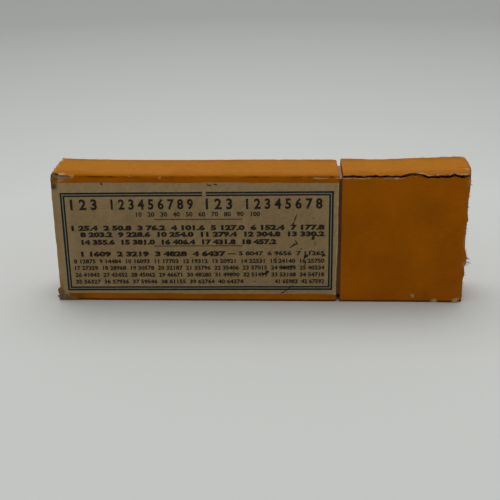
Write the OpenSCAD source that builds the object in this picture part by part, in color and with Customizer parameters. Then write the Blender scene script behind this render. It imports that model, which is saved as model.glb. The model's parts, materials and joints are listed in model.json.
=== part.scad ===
// Map measurer in its card box.
// The closed box stands on its long narrow edge, with its body to the left, its cap to the right
// and its printed label at the front. The instrument lies inside: a flat round case with a dial,
// a small toothed tracing wheel that rolls along the map, a gear train, and a turned handle.
// X runs along the box towards the cap, -Y is the label's side, and +Z is up.
// The origin is the middle of the closed box's footprint.

/* [Box] */
// Thickness of the board of the body
board_t = 1.45; // [1.2:0.05:2]
// Thickness of the covering paper
paper_t = 0.15; // [0.1:0.01:0.25]
// Wall of the neck that the cap slides over
neck_t = 0.75; // [0.5:0.05:1.2]
// Length of the neck that stands out of the body
neck_out = 16; // [10:0.5:24]
// Outer length of the cap
cap_l = 36.1; // [30:0.1:44]
// Gap between the rims when the box is closed
seam_gap = 0.7; // [0.3:0.1:1.5]
// Clearance between the neck and the paper turned into the cap
cap_play = 0.15; // [0.1:0.01:0.3]
// Depth of the paper turned into the cap
turn_in = 6; // [3:0.5:9]
// Rounding of the box's outer edges
corner_r = 1.2; // [0.6:0.1:1.4]
// Free length at each end of the instrument
end_play = 0.71; // [0.4:0.01:3]
// Free space in front of the instrument and behind it
side_play = 1; // [0.4:0.1:3]
// Gap under the case as it rests in the neck
rest_play = 0.3; // [0.2:0.05:0.6]
// Free height above the case
head_play = 1.4; // [0.5:0.1:4]

/* [Label] */
// Thickness of the label
label_t = 0.1; // [0.08:0.01:0.2]
// Height of the label's lower edge above the box's foot
label_foot = 2.55; // [1.5:0.05:6]
// Distance of the label's upper edge below the box's top
label_head = 2.2; // [1.5:0.1:6]
// Length of the label that wraps round onto the left end
label_wrap = 2.6; // [1.6:0.1:6]

/* [Case] */
// Outer radius of the case band
case_r = 16; // [15.9:0.1:18]
// Wall of the case band
band_t = 0.7; // [0.5:0.05:0.8]
// Width of the inner ledge that carries the front plate
ledge_w = 0.7; // [0.4:0.05:1]
// Thickness of that ledge
ledge_t = 0.5; // [0.3:0.05:0.8]
// Half width of the opening in the band at the tracing wheel
window_half = 4.6; // [4.3:0.1:5.2]
// Height of the bezel above the band
bezel_h = 1.85; // [1.5:0.05:2.6]
// Amount by which the bezel stands out past the band
bezel_lip = 0.4; // [0.3:0.05:0.8]
// Width of the bezel's face from its outer edge to the glass
bezel_face = 2; // [1.7:0.1:3]
// Thickness of the glass
glass_t = 0.5; // [0.4:0.05:0.8]
// Rise of the glass and of the back cover at their middle
dome_rise = 0.5; // [0.2:0.05:0.8]
// Wall of the back cover
cover_t = 0.5; // [0.35:0.05:0.6]
// Thickness of the dial
dial_t = 0.4; // [0.3:0.05:0.8]
// Depth of the dial's face below the front edge of the band
dial_sink = 0.4; // [0.3:0.05:1]

/* [Movement] */
// Thickness of the front and back plates
plate_t = 0.7; // [0.5:0.05:1]
// Radius of the three plate pillars
pillar_r = 0.9; // [0.7:0.05:1.2]
// Distance of the pillars in from the band's inner wall
pillar_inset = 2.8; // [2:0.1:3.2]
// Rounded end radius of the plate tongues that carry the tracing wheel
tongue_r = 2.2; // [1.6:0.1:2.8]
// Half width of the tongues at their root
tongue_root = 3.4; // [2.9:0.1:4.1]
// Radius of the screw shanks
screw_r = 0.4; // [0.3:0.05:0.5]
// Radius of the screw heads
screw_head_r = 1.15; // [0.8:0.05:1.5]
// Height of the screw heads
screw_head_t = 0.4; // [0.3:0.05:0.6]
// Clearance between the screw heads and the back cover's seat
cover_gap = 0.3; // [0.2:0.05:0.8]

/* [Gear train] */
// Length of map that turns the needle once round
travel_per_turn = 1000; // [900:10:1050]
// Teeth of the intermediate wheel
intermediate_teeth = 40; // [36:1:40]
// Teeth of the centre wheel
centre_teeth = 36; // [32:1:36]
// Leaves of both pinions
leaves = 6; // [6]
// Module of the first pair, size per tooth of the pitch circle
module_1 = 0.34; // [0.31:0.01:0.34]
// Module of the second pair
module_2 = 0.38; // [0.36:0.01:0.38]
// Thickness of the two train wheels
wheel_t = 0.6; // [0.4:0.05:0.8]
// Thickness of the tracing wheel
tracing_t = 1.4; // [1:0.1:2]
// Teeth round the tracing wheel
tracing_teeth = 40; // [32:1:48]
// Depth of the tracing wheel's teeth
tracing_tooth = 0.36; // [0.25:0.01:0.45]
// Height of the lower wheels above the back plate
low_z = 0.6; // [0.4:0.05:1.2]
// Gap between the tracing wheel and the intermediate wheel above it
wheel_gap = 0.6; // [0.4:0.05:1.2]
// Gap between the intermediate wheel and the front plate
top_gap = 0.4; // [0.35:0.05:1]
// Length by which the leaves stand out on each side of their wheel
leaf_over = 0.1; // [0.05:0.01:0.2]
// Radius of the arbors
arbor_r = 0.5; // [0.4:0.05:0.6]
// Radius of the pivots
pivot_r = 0.3; // [0.2:0.02:0.36]
// Radial clearance of a pivot in its hole
pivot_play = 0.03; // [0.02:0.01:0.06]
// End play of an arbor at each plate
end_shake = 0.1; // [0.05:0.01:0.2]

/* [Needle] */
// Length of the needle from its centre to its tip
needle_l = 11.6; // [8:0.1:13.4]
// Length of its tail
needle_tail = 3.6; // [2:0.1:6]
// Radius of its hub
needle_hub_r = 1; // [0.8:0.05:1.6]
// Thickness of the needle
needle_t = 0.2; // [0.15:0.01:0.3]
// Gap between the dial and the needle
needle_gap = 0.35; // [0.2:0.05:0.5]
// Radius of the centre arbor where the needle is pushed on
needle_seat_r = 0.35; // [0.25:0.01:0.42]
// Clearance of the centre arbor in the dial
dial_hole_play = 0.35; // [0.2:0.05:0.6]

/* [Handle] */
// Length of the boss on the case
boss_l = 3; // [2:0.1:5]
// Radius of the boss
boss_r = 2.4; // [1.8:0.1:2.8]
// Radius of the tang that joins the case to the handle
tang_r = 1.1; // [0.8:0.05:1.3]
// Depth of the tang in the boss
tang_boss = 2.4; // [1.5:0.1:2.8]
// Depth of the tang in the grip
tang_grip = 25; // [15:0.5:40]
// Clearance round the tang and the spigots
fit_play = 0.03; // [0.02:0.01:0.06]
// Length of the metal ferrule
ferrule_l = 10; // [8:0.1:14]
// Radius of the ferrule at the grip
ferrule_r = 3.6; // [3.4:0.1:3.9]
// Depth of the grip's spigot in the ferrule
spigot_l = 5; // [3:0.1:6]
// Wall of the ferrule at its mouth
ferrule_t = 0.6; // [0.4:0.05:0.9]
// Length of the wooden grip
grip_l = 61; // [50:0.5:75]
// Largest radius of the grip
grip_r = 4.2; // [4:0.05:5]
// Radius of the grip at its end
grip_end_r = 3.1; // [2.8:0.1:3.4]
// Length of the metal button at the end
button_l = 4.9; // [3.6:0.1:7]
// Depth of the button's stud in the grip
stud_l = 6; // [3:0.5:10]

/* [Hidden] */
$fn = 64;
eps = 0.01;
big = 400;

// Gear train. Pitch radii, centre distances and the reduction follow from the teeth.
intermediate_pr = intermediate_teeth * module_1 / 2;
pinion_1_pr = leaves * module_1 / 2;
centre_pr = centre_teeth * module_2 / 2;
pinion_2_pr = leaves * module_2 / 2;
centres_1 = intermediate_pr + pinion_1_pr;
centres_2 = centre_pr + pinion_2_pr;
reduction = intermediate_teeth / leaves * centre_teeth / leaves;
tracing_r = travel_per_turn / (PI * reduction) / 2;
intermediate_y = -centres_2;
tracing_y = -(centres_1 + centres_2);

// Tooth proportions in modules: widths on the pitch circle, heights and clearance.
tooth_w = 1.57;
leaf_w = 1.05;
tooth_rise = 1.1;
root_play = 0.12;

// Heights in the movement, from the inner face of the back plate.
high_z = low_z + tracing_t + wheel_gap;
plate_gap = high_z + wheel_t + top_gap;
dial_z = plate_gap + plate_t;
band_front = dial_z + dial_t + dial_sink;
band_back = -(plate_t + screw_head_t + cover_gap);
bezel_top = band_front + bezel_h;
cover_seat_t = 0.45;
cover_bottom = band_back - cover_seat_t - dome_rise;
needle_z = dial_z + dial_t + needle_gap;
slot_floor = -plate_t - 0.05;
shell_play = 0.05;

// Radii in the case.
band_in = case_r - band_t;
ledge_in = band_in - ledge_w;
back_plate_r = ledge_in - shell_play;
front_plate_r = band_in - shell_play;
bezel_r = case_r + bezel_lip;
glass_r = bezel_r - bezel_face;
glass_seat = 0.5;
skirt_h = 0.7;
pillar_ring = band_in - pillar_inset;
pillar_angles = [90, 200, 340];

// Handle, along +y of the instrument.
handle_z = (band_front + band_back) / 2;
boss_end = case_r + boss_l;
ferrule_end = boss_end + ferrule_l;
grip_end = ferrule_end + grip_l;
button_end = grip_end + button_l;
spigot_r = ferrule_r - ferrule_t;
stud_r = 1.1;

// Instrument as a whole.
tip_y = tracing_y - tracing_r;
instrument_l = button_end - tip_y;
instrument_t = bezel_top - cover_bottom;
instrument_mid = (bezel_top + cover_bottom) / 2;

// Box, worked out from what lies in it.
body_wall = paper_t + board_t;
grip_reach = grip_r + abs(instrument_mid - handle_z);
neck_w = max(instrument_t, 2 * grip_reach) + 2 * side_play + 2 * neck_t;
neck_h = rest_play + 2 * bezel_r + head_play + 2 * neck_t;
box_w = neck_w + 2 * body_wall;
box_h = neck_h + 2 * body_wall;
cap_board_t = board_t - paper_t - cap_play;
cap_wall = paper_t + cap_board_t;
box_l = body_wall + end_play + instrument_l + end_play + cap_wall;
left_x = -box_l / 2;
right_x = box_l / 2;
cap_rim = right_x - cap_l;
body_rim = cap_rim - seam_gap;
floor_x = left_x + body_wall;
neck_end = body_rim + neck_out;
dial_x = floor_x + end_play - tip_y;
case_z = body_wall + neck_t + rest_play + bezel_r;

// Rounded rectangle made of two bars and four corner discs.
module rounded_rect(l, w, r) {
  square([l - 2 * r, w], center = true);
  square([l, w - 2 * r], center = true);
  for (x = [-1, 1])
    for (y = [-1, 1])
      translate([x * (l / 2 - r), y * (w / 2 - r)])
        circle(r = r);
}

// Closed box's outer form, drawn in on every side by inset, all its edges rounded.
module box_form(inset) {
  l = box_l - 2 * inset;
  w = box_w - 2 * inset;
  h = box_h - 2 * inset;
  r = max(corner_r - inset, 0.2);
  translate([0, 0, box_h / 2])
    intersection() {
      linear_extrude(h, center = true) rounded_rect(l, w, r);
      rotate([90, 0, 0]) linear_extrude(w, center = true) rounded_rect(l, h, r);
      rotate([90, 0, 90]) linear_extrude(l, center = true) rounded_rect(w, h, r);
    }
}

// Slice of the box form between two places along the box.
module box_slice(inset, from_x, to_x) {
  intersection() {
    box_form(inset);
    translate([from_x, -big / 2, -big / 2]) cube([to_x - from_x, big, big]);
  }
}

// Straight rectangular bar along the box, in the middle of its section.
module bar(from_x, to_x, w, h) {
  translate([from_x, -w / 2, (box_h - h) / 2]) cube([to_x - from_x, w, h]);
}

module body_board() {
  color([0.53, 0.48, 0.40])
    difference() {
      box_slice(paper_t, left_x, body_rim - paper_t);
      bar(floor_x, body_rim + 1, neck_w, neck_h);
    }
}

// The paper covers the outside and laps over the rim as far as the neck.
module body_paper() {
  color([0.66, 0.35, 0.03])
    difference() {
      box_slice(0, left_x - 1, body_rim);
      box_slice(paper_t, left_x, body_rim - paper_t);
      bar(body_rim - 1, body_rim + 1, neck_w, neck_h);
    }
}

// The label ends at the rim and turns round the left edge onto the end.
module label() {
  color([0.62, 0.53, 0.38])
    translate([0, 0, label_foot])
      linear_extrude(box_h - label_foot - label_head)
        intersection() {
          difference() {
            rounded_rect(box_l + 2 * label_t, box_w + 2 * label_t, corner_r + label_t);
            rounded_rect(box_l, box_w, corner_r);
          }
          translate([left_x - 1, -box_w / 2 - 1])
            square([body_rim - left_x + 1, label_wrap + 1]);
        }
}

module neck() {
  color([0.55, 0.43, 0.34])
    difference() {
      bar(floor_x, neck_end, neck_w, neck_h);
      bar(floor_x - 1, neck_end + 1, neck_w - 2 * neck_t, neck_h - 2 * neck_t);
    }
}

module cap_board() {
  color([0.53, 0.48, 0.40])
    difference() {
      box_slice(paper_t, cap_rim + paper_t, right_x);
      bar(cap_rim - 1, right_x - cap_wall, box_w - 2 * cap_wall, box_h - 2 * cap_wall);
    }
}

// The paper covers the outside, laps over the rim and lines the mouth of the cap.
module cap_paper() {
  mouth_w = box_w - 2 * cap_wall;
  mouth_h = box_h - 2 * cap_wall;
  color([0.66, 0.35, 0.03])
    difference() {
      union() {
        difference() {
          box_slice(0, cap_rim, right_x + 1);
          box_slice(paper_t, cap_rim + paper_t, right_x);
        }
        bar(cap_rim, cap_rim + turn_in, mouth_w, mouth_h);
      }
      bar(cap_rim - 1, cap_rim + turn_in + 1, mouth_w - 2 * paper_t, mouth_h - 2 * paper_t);
    }
}

// Turns the instrument from its own axes into the box: the dial faces the label's side
// and the handle points towards the cap.
module in_box() {
  translate([dial_x, instrument_mid, case_z])
    rotate([90, 90, 0])
      children();
}

// Lays a turned piece, drawn upright, along the handle's axis.
module along_handle(start) {
  translate([0, start, handle_z])
    rotate([-90, 0, 0])
      children();
}

// Points of a shallow dome from the middle out to radius r, rising by rise.
function dome(r, rise, base, steps = 12) = [
  for (i = [0 : steps])
    let (x = r * i / steps)
      [x, base + rise * (1 - pow(x / r, 2))]
];

// Points back along a list.
function reversed(points) = [for (i = [len(points) - 1 : -1 : 0]) points[i]];

// Ring with a ledge inside, a slot for the plate tongues and a boss for the handle.
module case_band() {
  color([0.72, 0.70, 0.65])
    in_box() {
      difference() {
        union() {
          translate([0, 0, band_back])
            cylinder(r = case_r, h = band_front - band_back, $fn = 128);
          along_handle(band_in) cylinder(r = boss_r, h = boss_end - band_in);
        }
        translate([0, 0, band_back - 1])
          cylinder(r = ledge_in, h = plate_gap - band_back + 2, $fn = 128);
        translate([0, 0, band_back - 1])
          cylinder(r = band_in, h = plate_gap - ledge_t - band_back + 1, $fn = 128);
        translate([0, 0, plate_gap])
          cylinder(r = band_in, h = big, $fn = 128);
        translate([-window_half, -case_r - 1, slot_floor])
          cube([2 * window_half, case_r, big]);
        along_handle(boss_end - tang_boss)
          cylinder(r = tang_r + fit_play, h = tang_boss + 1);
      }
    }
}

// Domed cover with a snap rim that fits inside the band.
module back_cover() {
  rim_out = band_in - shell_play;
  rim_in = rim_out - 0.4;
  inner = dome(rim_in, -dome_rise, cover_t);
  outer = dome(case_r - 0.6, -dome_rise, 0);
  color([0.72, 0.70, 0.65])
    in_box()
      translate([0, 0, band_back - cover_seat_t])
        rotate_extrude($fn = 128)
          polygon(concat(
            outer,
            [
              [case_r, 0.25],
              [case_r, cover_seat_t],
              [rim_out, cover_seat_t],
              [rim_out, cover_seat_t + 0.35],
              [rim_in, cover_seat_t + 0.35]
            ],
            reversed(inner)
          ));
}

// Bezel with a skirt outside the band and a groove that holds the glass.
module bezel() {
  groove_z = band_front + 0.7;
  round_r = 0.9;
  crown = [
    for (a = [0 : 15 : 90])
      [bezel_r - round_r + round_r * cos(a), bezel_top - round_r + round_r * sin(a)]
  ];
  color([0.74, 0.72, 0.67])
    in_box()
      rotate_extrude($fn = 128)
        polygon(concat(
          [[case_r + fit_play, band_front - skirt_h], [bezel_r, band_front - skirt_h]],
          crown,
          [
            [glass_r + 0.45, bezel_top - 0.05],
            [glass_r, groove_z + glass_t + 0.12],
            [glass_r, groove_z + glass_t + fit_play],
            [glass_r + glass_seat, groove_z + glass_t + fit_play],
            [glass_r + glass_seat, groove_z],
            [glass_r, groove_z],
            [glass_r, band_front],
            [case_r + fit_play, band_front]
          ]
        ));
}

// Glass, flat at its rim where the groove holds it and domed inside.
module crystal() {
  edge_r = glass_r + glass_seat - shell_play;
  dome_r = glass_r - 0.2;
  color([0.80, 0.85, 0.85, 0.35])
    in_box()
      translate([0, 0, band_front + 0.7])
        rotate_extrude($fn = 128)
          polygon(concat(
            dome(dome_r, dome_rise, 0),
            [[edge_r, 0], [edge_r, glass_t]],
            reversed(dome(dome_r, dome_rise, glass_t))
          ));
}

module dial() {
  color([0.93, 0.91, 0.84])
    in_box()
      translate([0, 0, dial_z])
        difference() {
          cylinder(r = front_plate_r, h = dial_t, $fn = 128);
          translate([0, 0, -1]) cylinder(r = arbor_r + dial_hole_play, h = dial_t + 2);
        }
}

// Outline of a plate: a disc with a tapering tongue round the tracing arbor.
module plate_outline(r) {
  circle(r = r, $fn = 128);
  translate([0, tracing_y]) circle(r = tongue_r);
  polygon([
    [-tongue_root, tracing_y + 3],
    [-tongue_r, tracing_y],
    [tongue_r, tracing_y],
    [tongue_root, tracing_y + 3],
    [0, 0]
  ]);
}

// Places its children on the three pillars.
module at_pillars() {
  for (a = pillar_angles)
    rotate([0, 0, a])
      translate([pillar_ring, 0, 0])
        children();
}

// Holes for the pivots of the intermediate and tracing arbors.
module pivot_holes() {
  for (y = [intermediate_y, tracing_y])
    translate([0, y, -1])
      cylinder(r = pivot_r + pivot_play, h = plate_t + 2, $fn = 32);
}

module front_plate() {
  color([0.80, 0.66, 0.36])
    in_box()
      translate([0, 0, plate_gap])
        difference() {
          linear_extrude(plate_t) plate_outline(front_plate_r);
          pivot_holes();
          translate([0, 0, -1]) cylinder(r = arbor_r + pivot_play, h = plate_t + 2, $fn = 32);
        }
}

module back_plate() {
  color([0.80, 0.66, 0.36])
    in_box()
      translate([0, 0, -plate_t])
        difference() {
          linear_extrude(plate_t) plate_outline(back_plate_r);
          pivot_holes();
          translate([0, 0, -1]) cylinder(r = pivot_r + pivot_play, h = plate_t + 2, $fn = 32);
          at_pillars()
            translate([0, 0, -1])
              cylinder(r = screw_r + fit_play, h = plate_t + 2, $fn = 32);
        }
}

// Turned pillars with a waist, tapped from below for the plate screws.
module plate_pillars() {
  waist = pillar_r - 0.2;
  tap_l = plate_gap * 0.5;
  color([0.80, 0.66, 0.36])
    in_box()
      at_pillars()
        difference() {
          rotate_extrude()
            polygon([
              [0, 0], [pillar_r, 0], [pillar_r, 0.5], [waist, 0.8],
              [waist, plate_gap - 0.8], [pillar_r, plate_gap - 0.5],
              [pillar_r, plate_gap], [0, plate_gap]
            ]);
          translate([0, 0, -1]) cylinder(r = screw_r + fit_play, h = tap_l + 1, $fn = 32);
        }
}

module plate_screws() {
  slot_w = 0.3;
  slot_d = screw_head_t / 2;
  shank_l = plate_t + plate_gap * 0.5 - 0.2;
  color([0.30, 0.33, 0.42])
    in_box()
      at_pillars()
        translate([0, 0, -plate_t - screw_head_t])
          difference() {
            union() {
              cylinder(r = screw_head_r, h = screw_head_t, $fn = 32);
              cylinder(r = screw_r, h = screw_head_t + shank_l, $fn = 32);
            }
            translate([-big / 2, -slot_w / 2, -1]) cube([big, slot_w, slot_d + 1]);
          }
}

module tang() {
  start = boss_end - tang_boss;
  color([0.62, 0.62, 0.60])
    in_box()
      along_handle(start)
        cylinder(r = tang_r, h = ferrule_end + tang_grip - start - 0.5);
}

// Turned ferrule with a bead at the case, a cove and a socket for the grip's spigot.
module ferrule() {
  foot_r = boss_r + 0.5;
  cove_z = 2;
  cove_l = ferrule_l - spigot_l - cove_z - 0.4;
  cove = [
    for (a = [0 : 15 : 90])
      [ferrule_r - (ferrule_r - foot_r + 0.5) * cos(a), cove_z + cove_l * sin(a)]
  ];
  color([0.74, 0.72, 0.67])
    in_box()
      along_handle(boss_end)
        difference() {
          rotate_extrude()
            polygon(concat(
              [[0, 0], [foot_r - 0.3, 0], [foot_r, 0.3], [foot_r, 1.2], [foot_r - 0.3, 1.5]],
              cove,
              [[ferrule_r, ferrule_l - 0.2], [ferrule_r - 0.2, ferrule_l], [0, ferrule_l]]
            ));
          translate([0, 0, -1]) cylinder(r = tang_r + fit_play, h = ferrule_l + 2);
          translate([0, 0, ferrule_l - spigot_l - fit_play])
            cylinder(r = spigot_r + fit_play, h = spigot_l + 1);
        }
}

// Radius of the grip at a share of its length: a slow swell, fullest past the middle.
function grip_profile(s) =
  ferrule_r + (grip_end_r - ferrule_r) * s
  + (grip_r - (ferrule_r + grip_end_r) / 2) * pow(sin(180 * pow(s, 1.25)), 1.3);

// Turned wooden grip with a spigot in the ferrule and a bead before its end.
module handle_grip() {
  bead_r = grip_end_r + 0.45;
  swell_l = grip_l - 4;
  swell = [for (i = [0 : 24]) [grip_profile(i / 24), swell_l * i / 24]];
  bead = [
    for (a = [-90 : 22.5 : 90])
      [grip_end_r - 0.35 + (bead_r - grip_end_r + 0.35) * cos(a), swell_l + 1.6 + 1.2 * sin(a)]
  ];
  color([0.10, 0.08, 0.07])
    in_box()
      along_handle(ferrule_end)
        difference() {
          rotate_extrude()
            polygon(concat(
              [[0, -spigot_l], [spigot_r, -spigot_l], [spigot_r, 0]],
              swell,
              bead,
              [[grip_end_r - 0.35, grip_l - 0.8], [grip_end_r, grip_l - 0.4],
               [grip_end_r, grip_l], [0, grip_l]]
            ));
          translate([0, 0, -spigot_l - 1])
            cylinder(r = tang_r + fit_play, h = spigot_l + tang_grip + 1);
          translate([0, 0, grip_l - stud_l])
            cylinder(r = stud_r + fit_play, h = stud_l + 1);
        }
}

// Domed metal button with a stud that goes into the grip.
module end_button() {
  button_r = grip_end_r - 0.2;
  crown = [
    for (a = [0 : 10 : 90])
      [button_r * cos(a), 1.4 + (button_l - 1.4) * sin(a)]
  ];
  color([0.74, 0.72, 0.67])
    in_box()
      along_handle(grip_end)
        rotate_extrude()
          polygon(concat(
            [[0, 0.3 - stud_l], [stud_r, 0.3 - stud_l], [stud_r, 0],
             [button_r + 0.15, 0], [button_r + 0.15, 0.8], [button_r, 1.1]],
            crown
          ));
}

// Cycloidal wheel tooth: the flank outside the pitch circle is the epicycloid that a circle
// of half the pinion's pitch radius traces, so the pinion's flanks are straight and radial.
function epicycloid(pr, roll, t) = [
  (pr + roll) * cos(t) - roll * cos((pr + roll) * t / roll),
  (pr + roll) * sin(t) - roll * sin((pr + roll) * t / roll)
];

// Turn of the rolling circle at which the flank reaches radius tip_r.
function roll_angle(pr, roll, tip_r) =
  acos((pow(pr + roll, 2) + roll * roll - tip_r * tip_r) / (2 * (pr + roll) * roll)) * roll / pr;

function turned(p, a) = [p[0] * cos(a) - p[1] * sin(a), p[0] * sin(a) + p[1] * cos(a)];

// Outline of a cycloidal wheel, one tooth centred on +x.
function wheel_points(teeth, size, pinion_pr, steps = 5) =
  let (
    pr = teeth * size / 2,
    roll = pinion_pr / 2,
    tip_r = pr + tooth_rise * size,
    root_r = pr - (leaf_w / 2 + root_play) * size,
    half = tooth_w * size / 2 / pr * 180 / PI,
    last = roll_angle(pr, roll, tip_r),
    flank = [for (i = [0 : steps]) epicycloid(pr, roll, last * i / steps)]
  )
  [
    for (k = [0 : teeth - 1])
      let (at = 360 / teeth * k)
        each concat(
          [root_r * [cos(at - half), sin(at - half)]],
          [for (p = flank) turned(p, at - half)],
          [for (p = reversed(flank)) turned([p[0], -p[1]], at + half)],
          [root_r * [cos(at + half), sin(at + half)]]
        )
  ];

// Outline of a leaf pinion with radial flanks and round tips, one leaf centred on +x.
function pinion_points(size) =
  let (
    pr = leaves * size / 2,
    half = leaf_w * size / 2 / pr * 180 / PI,
    root_r = pr - (tooth_rise + root_play) * size,
    tip = pr * sin(half)
  )
  [
    for (k = [0 : leaves - 1])
      let (at = 360 / leaves * k)
        each concat(
          [root_r * [cos(at - half), sin(at - half)]],
          [
            for (a = [-90 : 22.5 : 90])
              turned([pr * cos(half) + tip * cos(a), tip * sin(a)], at)
          ],
          [root_r * [cos(at + half), sin(at + half)]]
        )
  ];

// Train wheel, crossed out with four arms round a hub that is pressed on its arbor.
module train_wheel(teeth, size, pinion_pr) {
  pr = teeth * size / 2;
  rim_in = pr - 1.5;
  hub_r = arbor_r + 1;
  arm_w = 0.8;
  linear_extrude(wheel_t)
    difference() {
      polygon(wheel_points(teeth, size, pinion_pr));
      difference() {
        circle(r = rim_in);
        circle(r = hub_r, $fn = 48);
        square([2 * pr, arm_w], center = true);
        square([arm_w, 2 * pr], center = true);
      }
      circle(r = arbor_r, $fn = 32);
    }
}

// Arbor between the plates, with a leaf pinion and a pivot at each end.
module arbor(size, leaf_z, front_pivot_r, front_pivot_l) {
  translate([0, 0, -plate_t]) cylinder(r = pivot_r, h = plate_t + end_shake + eps, $fn = 32);
  translate([0, 0, end_shake])
    cylinder(r = arbor_r, h = plate_gap - 2 * end_shake, $fn = 32);
  translate([0, 0, plate_gap - end_shake - eps])
    cylinder(r = front_pivot_r, h = end_shake + eps + front_pivot_l, $fn = 32);
  if (size > 0)
    translate([0, 0, leaf_z - leaf_over])
      linear_extrude(wheel_t + 2 * leaf_over)
        polygon(pinion_points(size));
}

// Toothed wheel that rolls on the map. Its tips run on the circle that measures the travel.
module tracing_wheel() {
  step = 360 / tracing_teeth;
  root_r = tracing_r - tracing_tooth;
  color([0.80, 0.66, 0.36])
    in_box()
      translate([0, tracing_y, low_z])
        linear_extrude(tracing_t)
          difference() {
            polygon([
              for (k = [0 : tracing_teeth - 1])
                for (p = [[root_r, -0.4], [tracing_r, -0.1], [tracing_r, 0.1], [root_r, 0.4]])
                  turned([p[0], 0], (k + p[1]) * step)
            ]);
            circle(r = arbor_r, $fn = 32);
          }
}

module tracing_arbor() {
  color([0.62, 0.62, 0.60])
    in_box()
      translate([0, tracing_y, 0]) arbor(module_1, high_z, pivot_r, plate_t);
}

module intermediate_wheel() {
  color([0.80, 0.66, 0.36])
    in_box()
      translate([0, intermediate_y, high_z])
        train_wheel(intermediate_teeth, module_1, pinion_1_pr);
}

module intermediate_arbor() {
  color([0.62, 0.62, 0.60])
    in_box()
      translate([0, intermediate_y, 0]) arbor(module_2, low_z, pivot_r, plate_t);
}

module centre_wheel() {
  color([0.80, 0.66, 0.36])
    in_box()
      translate([0, 0, low_z]) train_wheel(centre_teeth, module_2, pinion_2_pr);
}

// The centre arbor goes on through the front plate and the dial to carry the needle.
module centre_arbor() {
  color([0.62, 0.62, 0.60])
    in_box() {
      arbor(0, 0, arbor_r, needle_z - plate_gap);
      translate([0, 0, needle_z - eps])
        cylinder(r = needle_seat_r, h = needle_t + 0.15 + eps, $fn = 32);
    }
}

// Pointer with a slender blade, a hub and a short counterpoise tail, pointing to the handle.
module needle() {
  color([0.10, 0.13, 0.22])
    in_box()
      translate([0, 0, needle_z])
        linear_extrude(needle_t)
          difference() {
            union() {
              circle(r = needle_hub_r, $fn = 48);
              polygon([
                [0.3, needle_hub_r - 0.3], [0.5, needle_l * 0.55], [0, needle_l],
                [-0.5, needle_l * 0.55], [-0.3, needle_hub_r - 0.3]
              ]);
              polygon([
                [-0.55, -needle_tail], [0.55, -needle_tail],
                [0.3, 0.3 - needle_hub_r], [-0.3, 0.3 - needle_hub_r]
              ]);
              translate([0, -needle_tail]) circle(r = 0.8, $fn = 32);
            }
            circle(r = needle_seat_r, $fn = 32);
          }
}

body_board();
body_paper();
label();
neck();
cap_board();
cap_paper();
case_band();
back_cover();
bezel();
crystal();
dial();
front_plate();
back_plate();
plate_pillars();
plate_screws();
tang();
ferrule();
handle_grip();
end_button();
tracing_wheel();
tracing_arbor();
intermediate_wheel();
intermediate_arbor();
centre_wheel();
centre_arbor();
needle();
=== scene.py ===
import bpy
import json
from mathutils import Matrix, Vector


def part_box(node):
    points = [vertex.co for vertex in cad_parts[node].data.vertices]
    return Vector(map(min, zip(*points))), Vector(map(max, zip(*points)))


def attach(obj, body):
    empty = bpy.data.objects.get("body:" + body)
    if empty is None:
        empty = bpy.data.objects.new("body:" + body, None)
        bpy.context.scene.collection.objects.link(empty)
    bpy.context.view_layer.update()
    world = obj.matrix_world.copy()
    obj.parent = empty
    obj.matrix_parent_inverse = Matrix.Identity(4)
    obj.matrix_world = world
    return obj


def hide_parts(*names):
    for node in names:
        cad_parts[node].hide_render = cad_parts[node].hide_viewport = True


bl_info = {
    "name": "Map Measurer in its Card Box",
    "version": (1, 0, 0),
    "blender": (4, 5, 0),
    "location": "View3D > Sidebar > Map Measurer",
    "description": "Dresses the packed map measurer and its worn paper-covered box",
    "category": "Object",
}

import json
import math
import random

import bmesh
import bpy
from bpy.props import FloatProperty, FloatVectorProperty, IntProperty, PointerProperty
from mathutils import Matrix, Vector, noise

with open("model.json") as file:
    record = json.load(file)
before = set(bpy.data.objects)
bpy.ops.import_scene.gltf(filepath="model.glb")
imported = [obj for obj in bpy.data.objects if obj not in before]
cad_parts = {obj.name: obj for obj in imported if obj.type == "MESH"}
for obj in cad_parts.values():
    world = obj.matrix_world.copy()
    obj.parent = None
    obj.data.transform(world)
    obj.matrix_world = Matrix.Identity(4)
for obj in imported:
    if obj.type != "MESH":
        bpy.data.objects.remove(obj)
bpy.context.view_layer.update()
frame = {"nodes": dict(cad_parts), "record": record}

MM = 0.001
IMAGE_SIDE = 500
# Sockets of the Mix node when it mixes colours
MIX_FACTOR, MIX_A, MIX_B, MIX_OUT = 0, 6, 7, 2


def tone(code):
    """An sRGB hex colour as the linear colour that a shader takes."""
    channels = [int(code[i:i + 2], 16) / 255 for i in (0, 2, 4)]
    return [c / 12.92 if c <= 0.04045 else ((c + 0.055) / 1.055) ** 2.4 for c in channels]


# Old dust and finger grease on paper and board, and the same brown as painted shade in the crease of the
# top front edge, along the foot, by the seam and in the neck's gap
GRIME_AND_SHADE_BROWN = tone("4A2604")


def corners_mm(node):
    """Lowest and highest corner of a CAD node in millimetres."""
    low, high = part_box(node)
    return low / MM, high / MM


BODY_LOW, BODY_HIGH = corners_mm("body_paper")
CAP_LOW, CAP_HIGH = corners_mm("cap_paper")
NECK_LOW, NECK_HIGH = corners_mm("neck")
LABEL_LOW, LABEL_HIGH = corners_mm("label")
DIAL_LOW, DIAL_HIGH = corners_mm("dial")
DIAL_MID = (DIAL_LOW + DIAL_HIGH) / 2


def length_setting(name, description, default, least, most):
    """A length that a user may change, given here in mm."""
    return FloatProperty(name=name, description=description, default=default * MM, min=least * MM,
                         max=most * MM, unit="LENGTH", subtype="DISTANCE")


def colour_setting(name, description, code):
    """A colour that a user may change, given here as an sRGB hex colour."""
    return FloatVectorProperty(name=name, description=description, default=tone(code), size=3,
                               min=0, max=1, subtype="COLOR")


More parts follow.
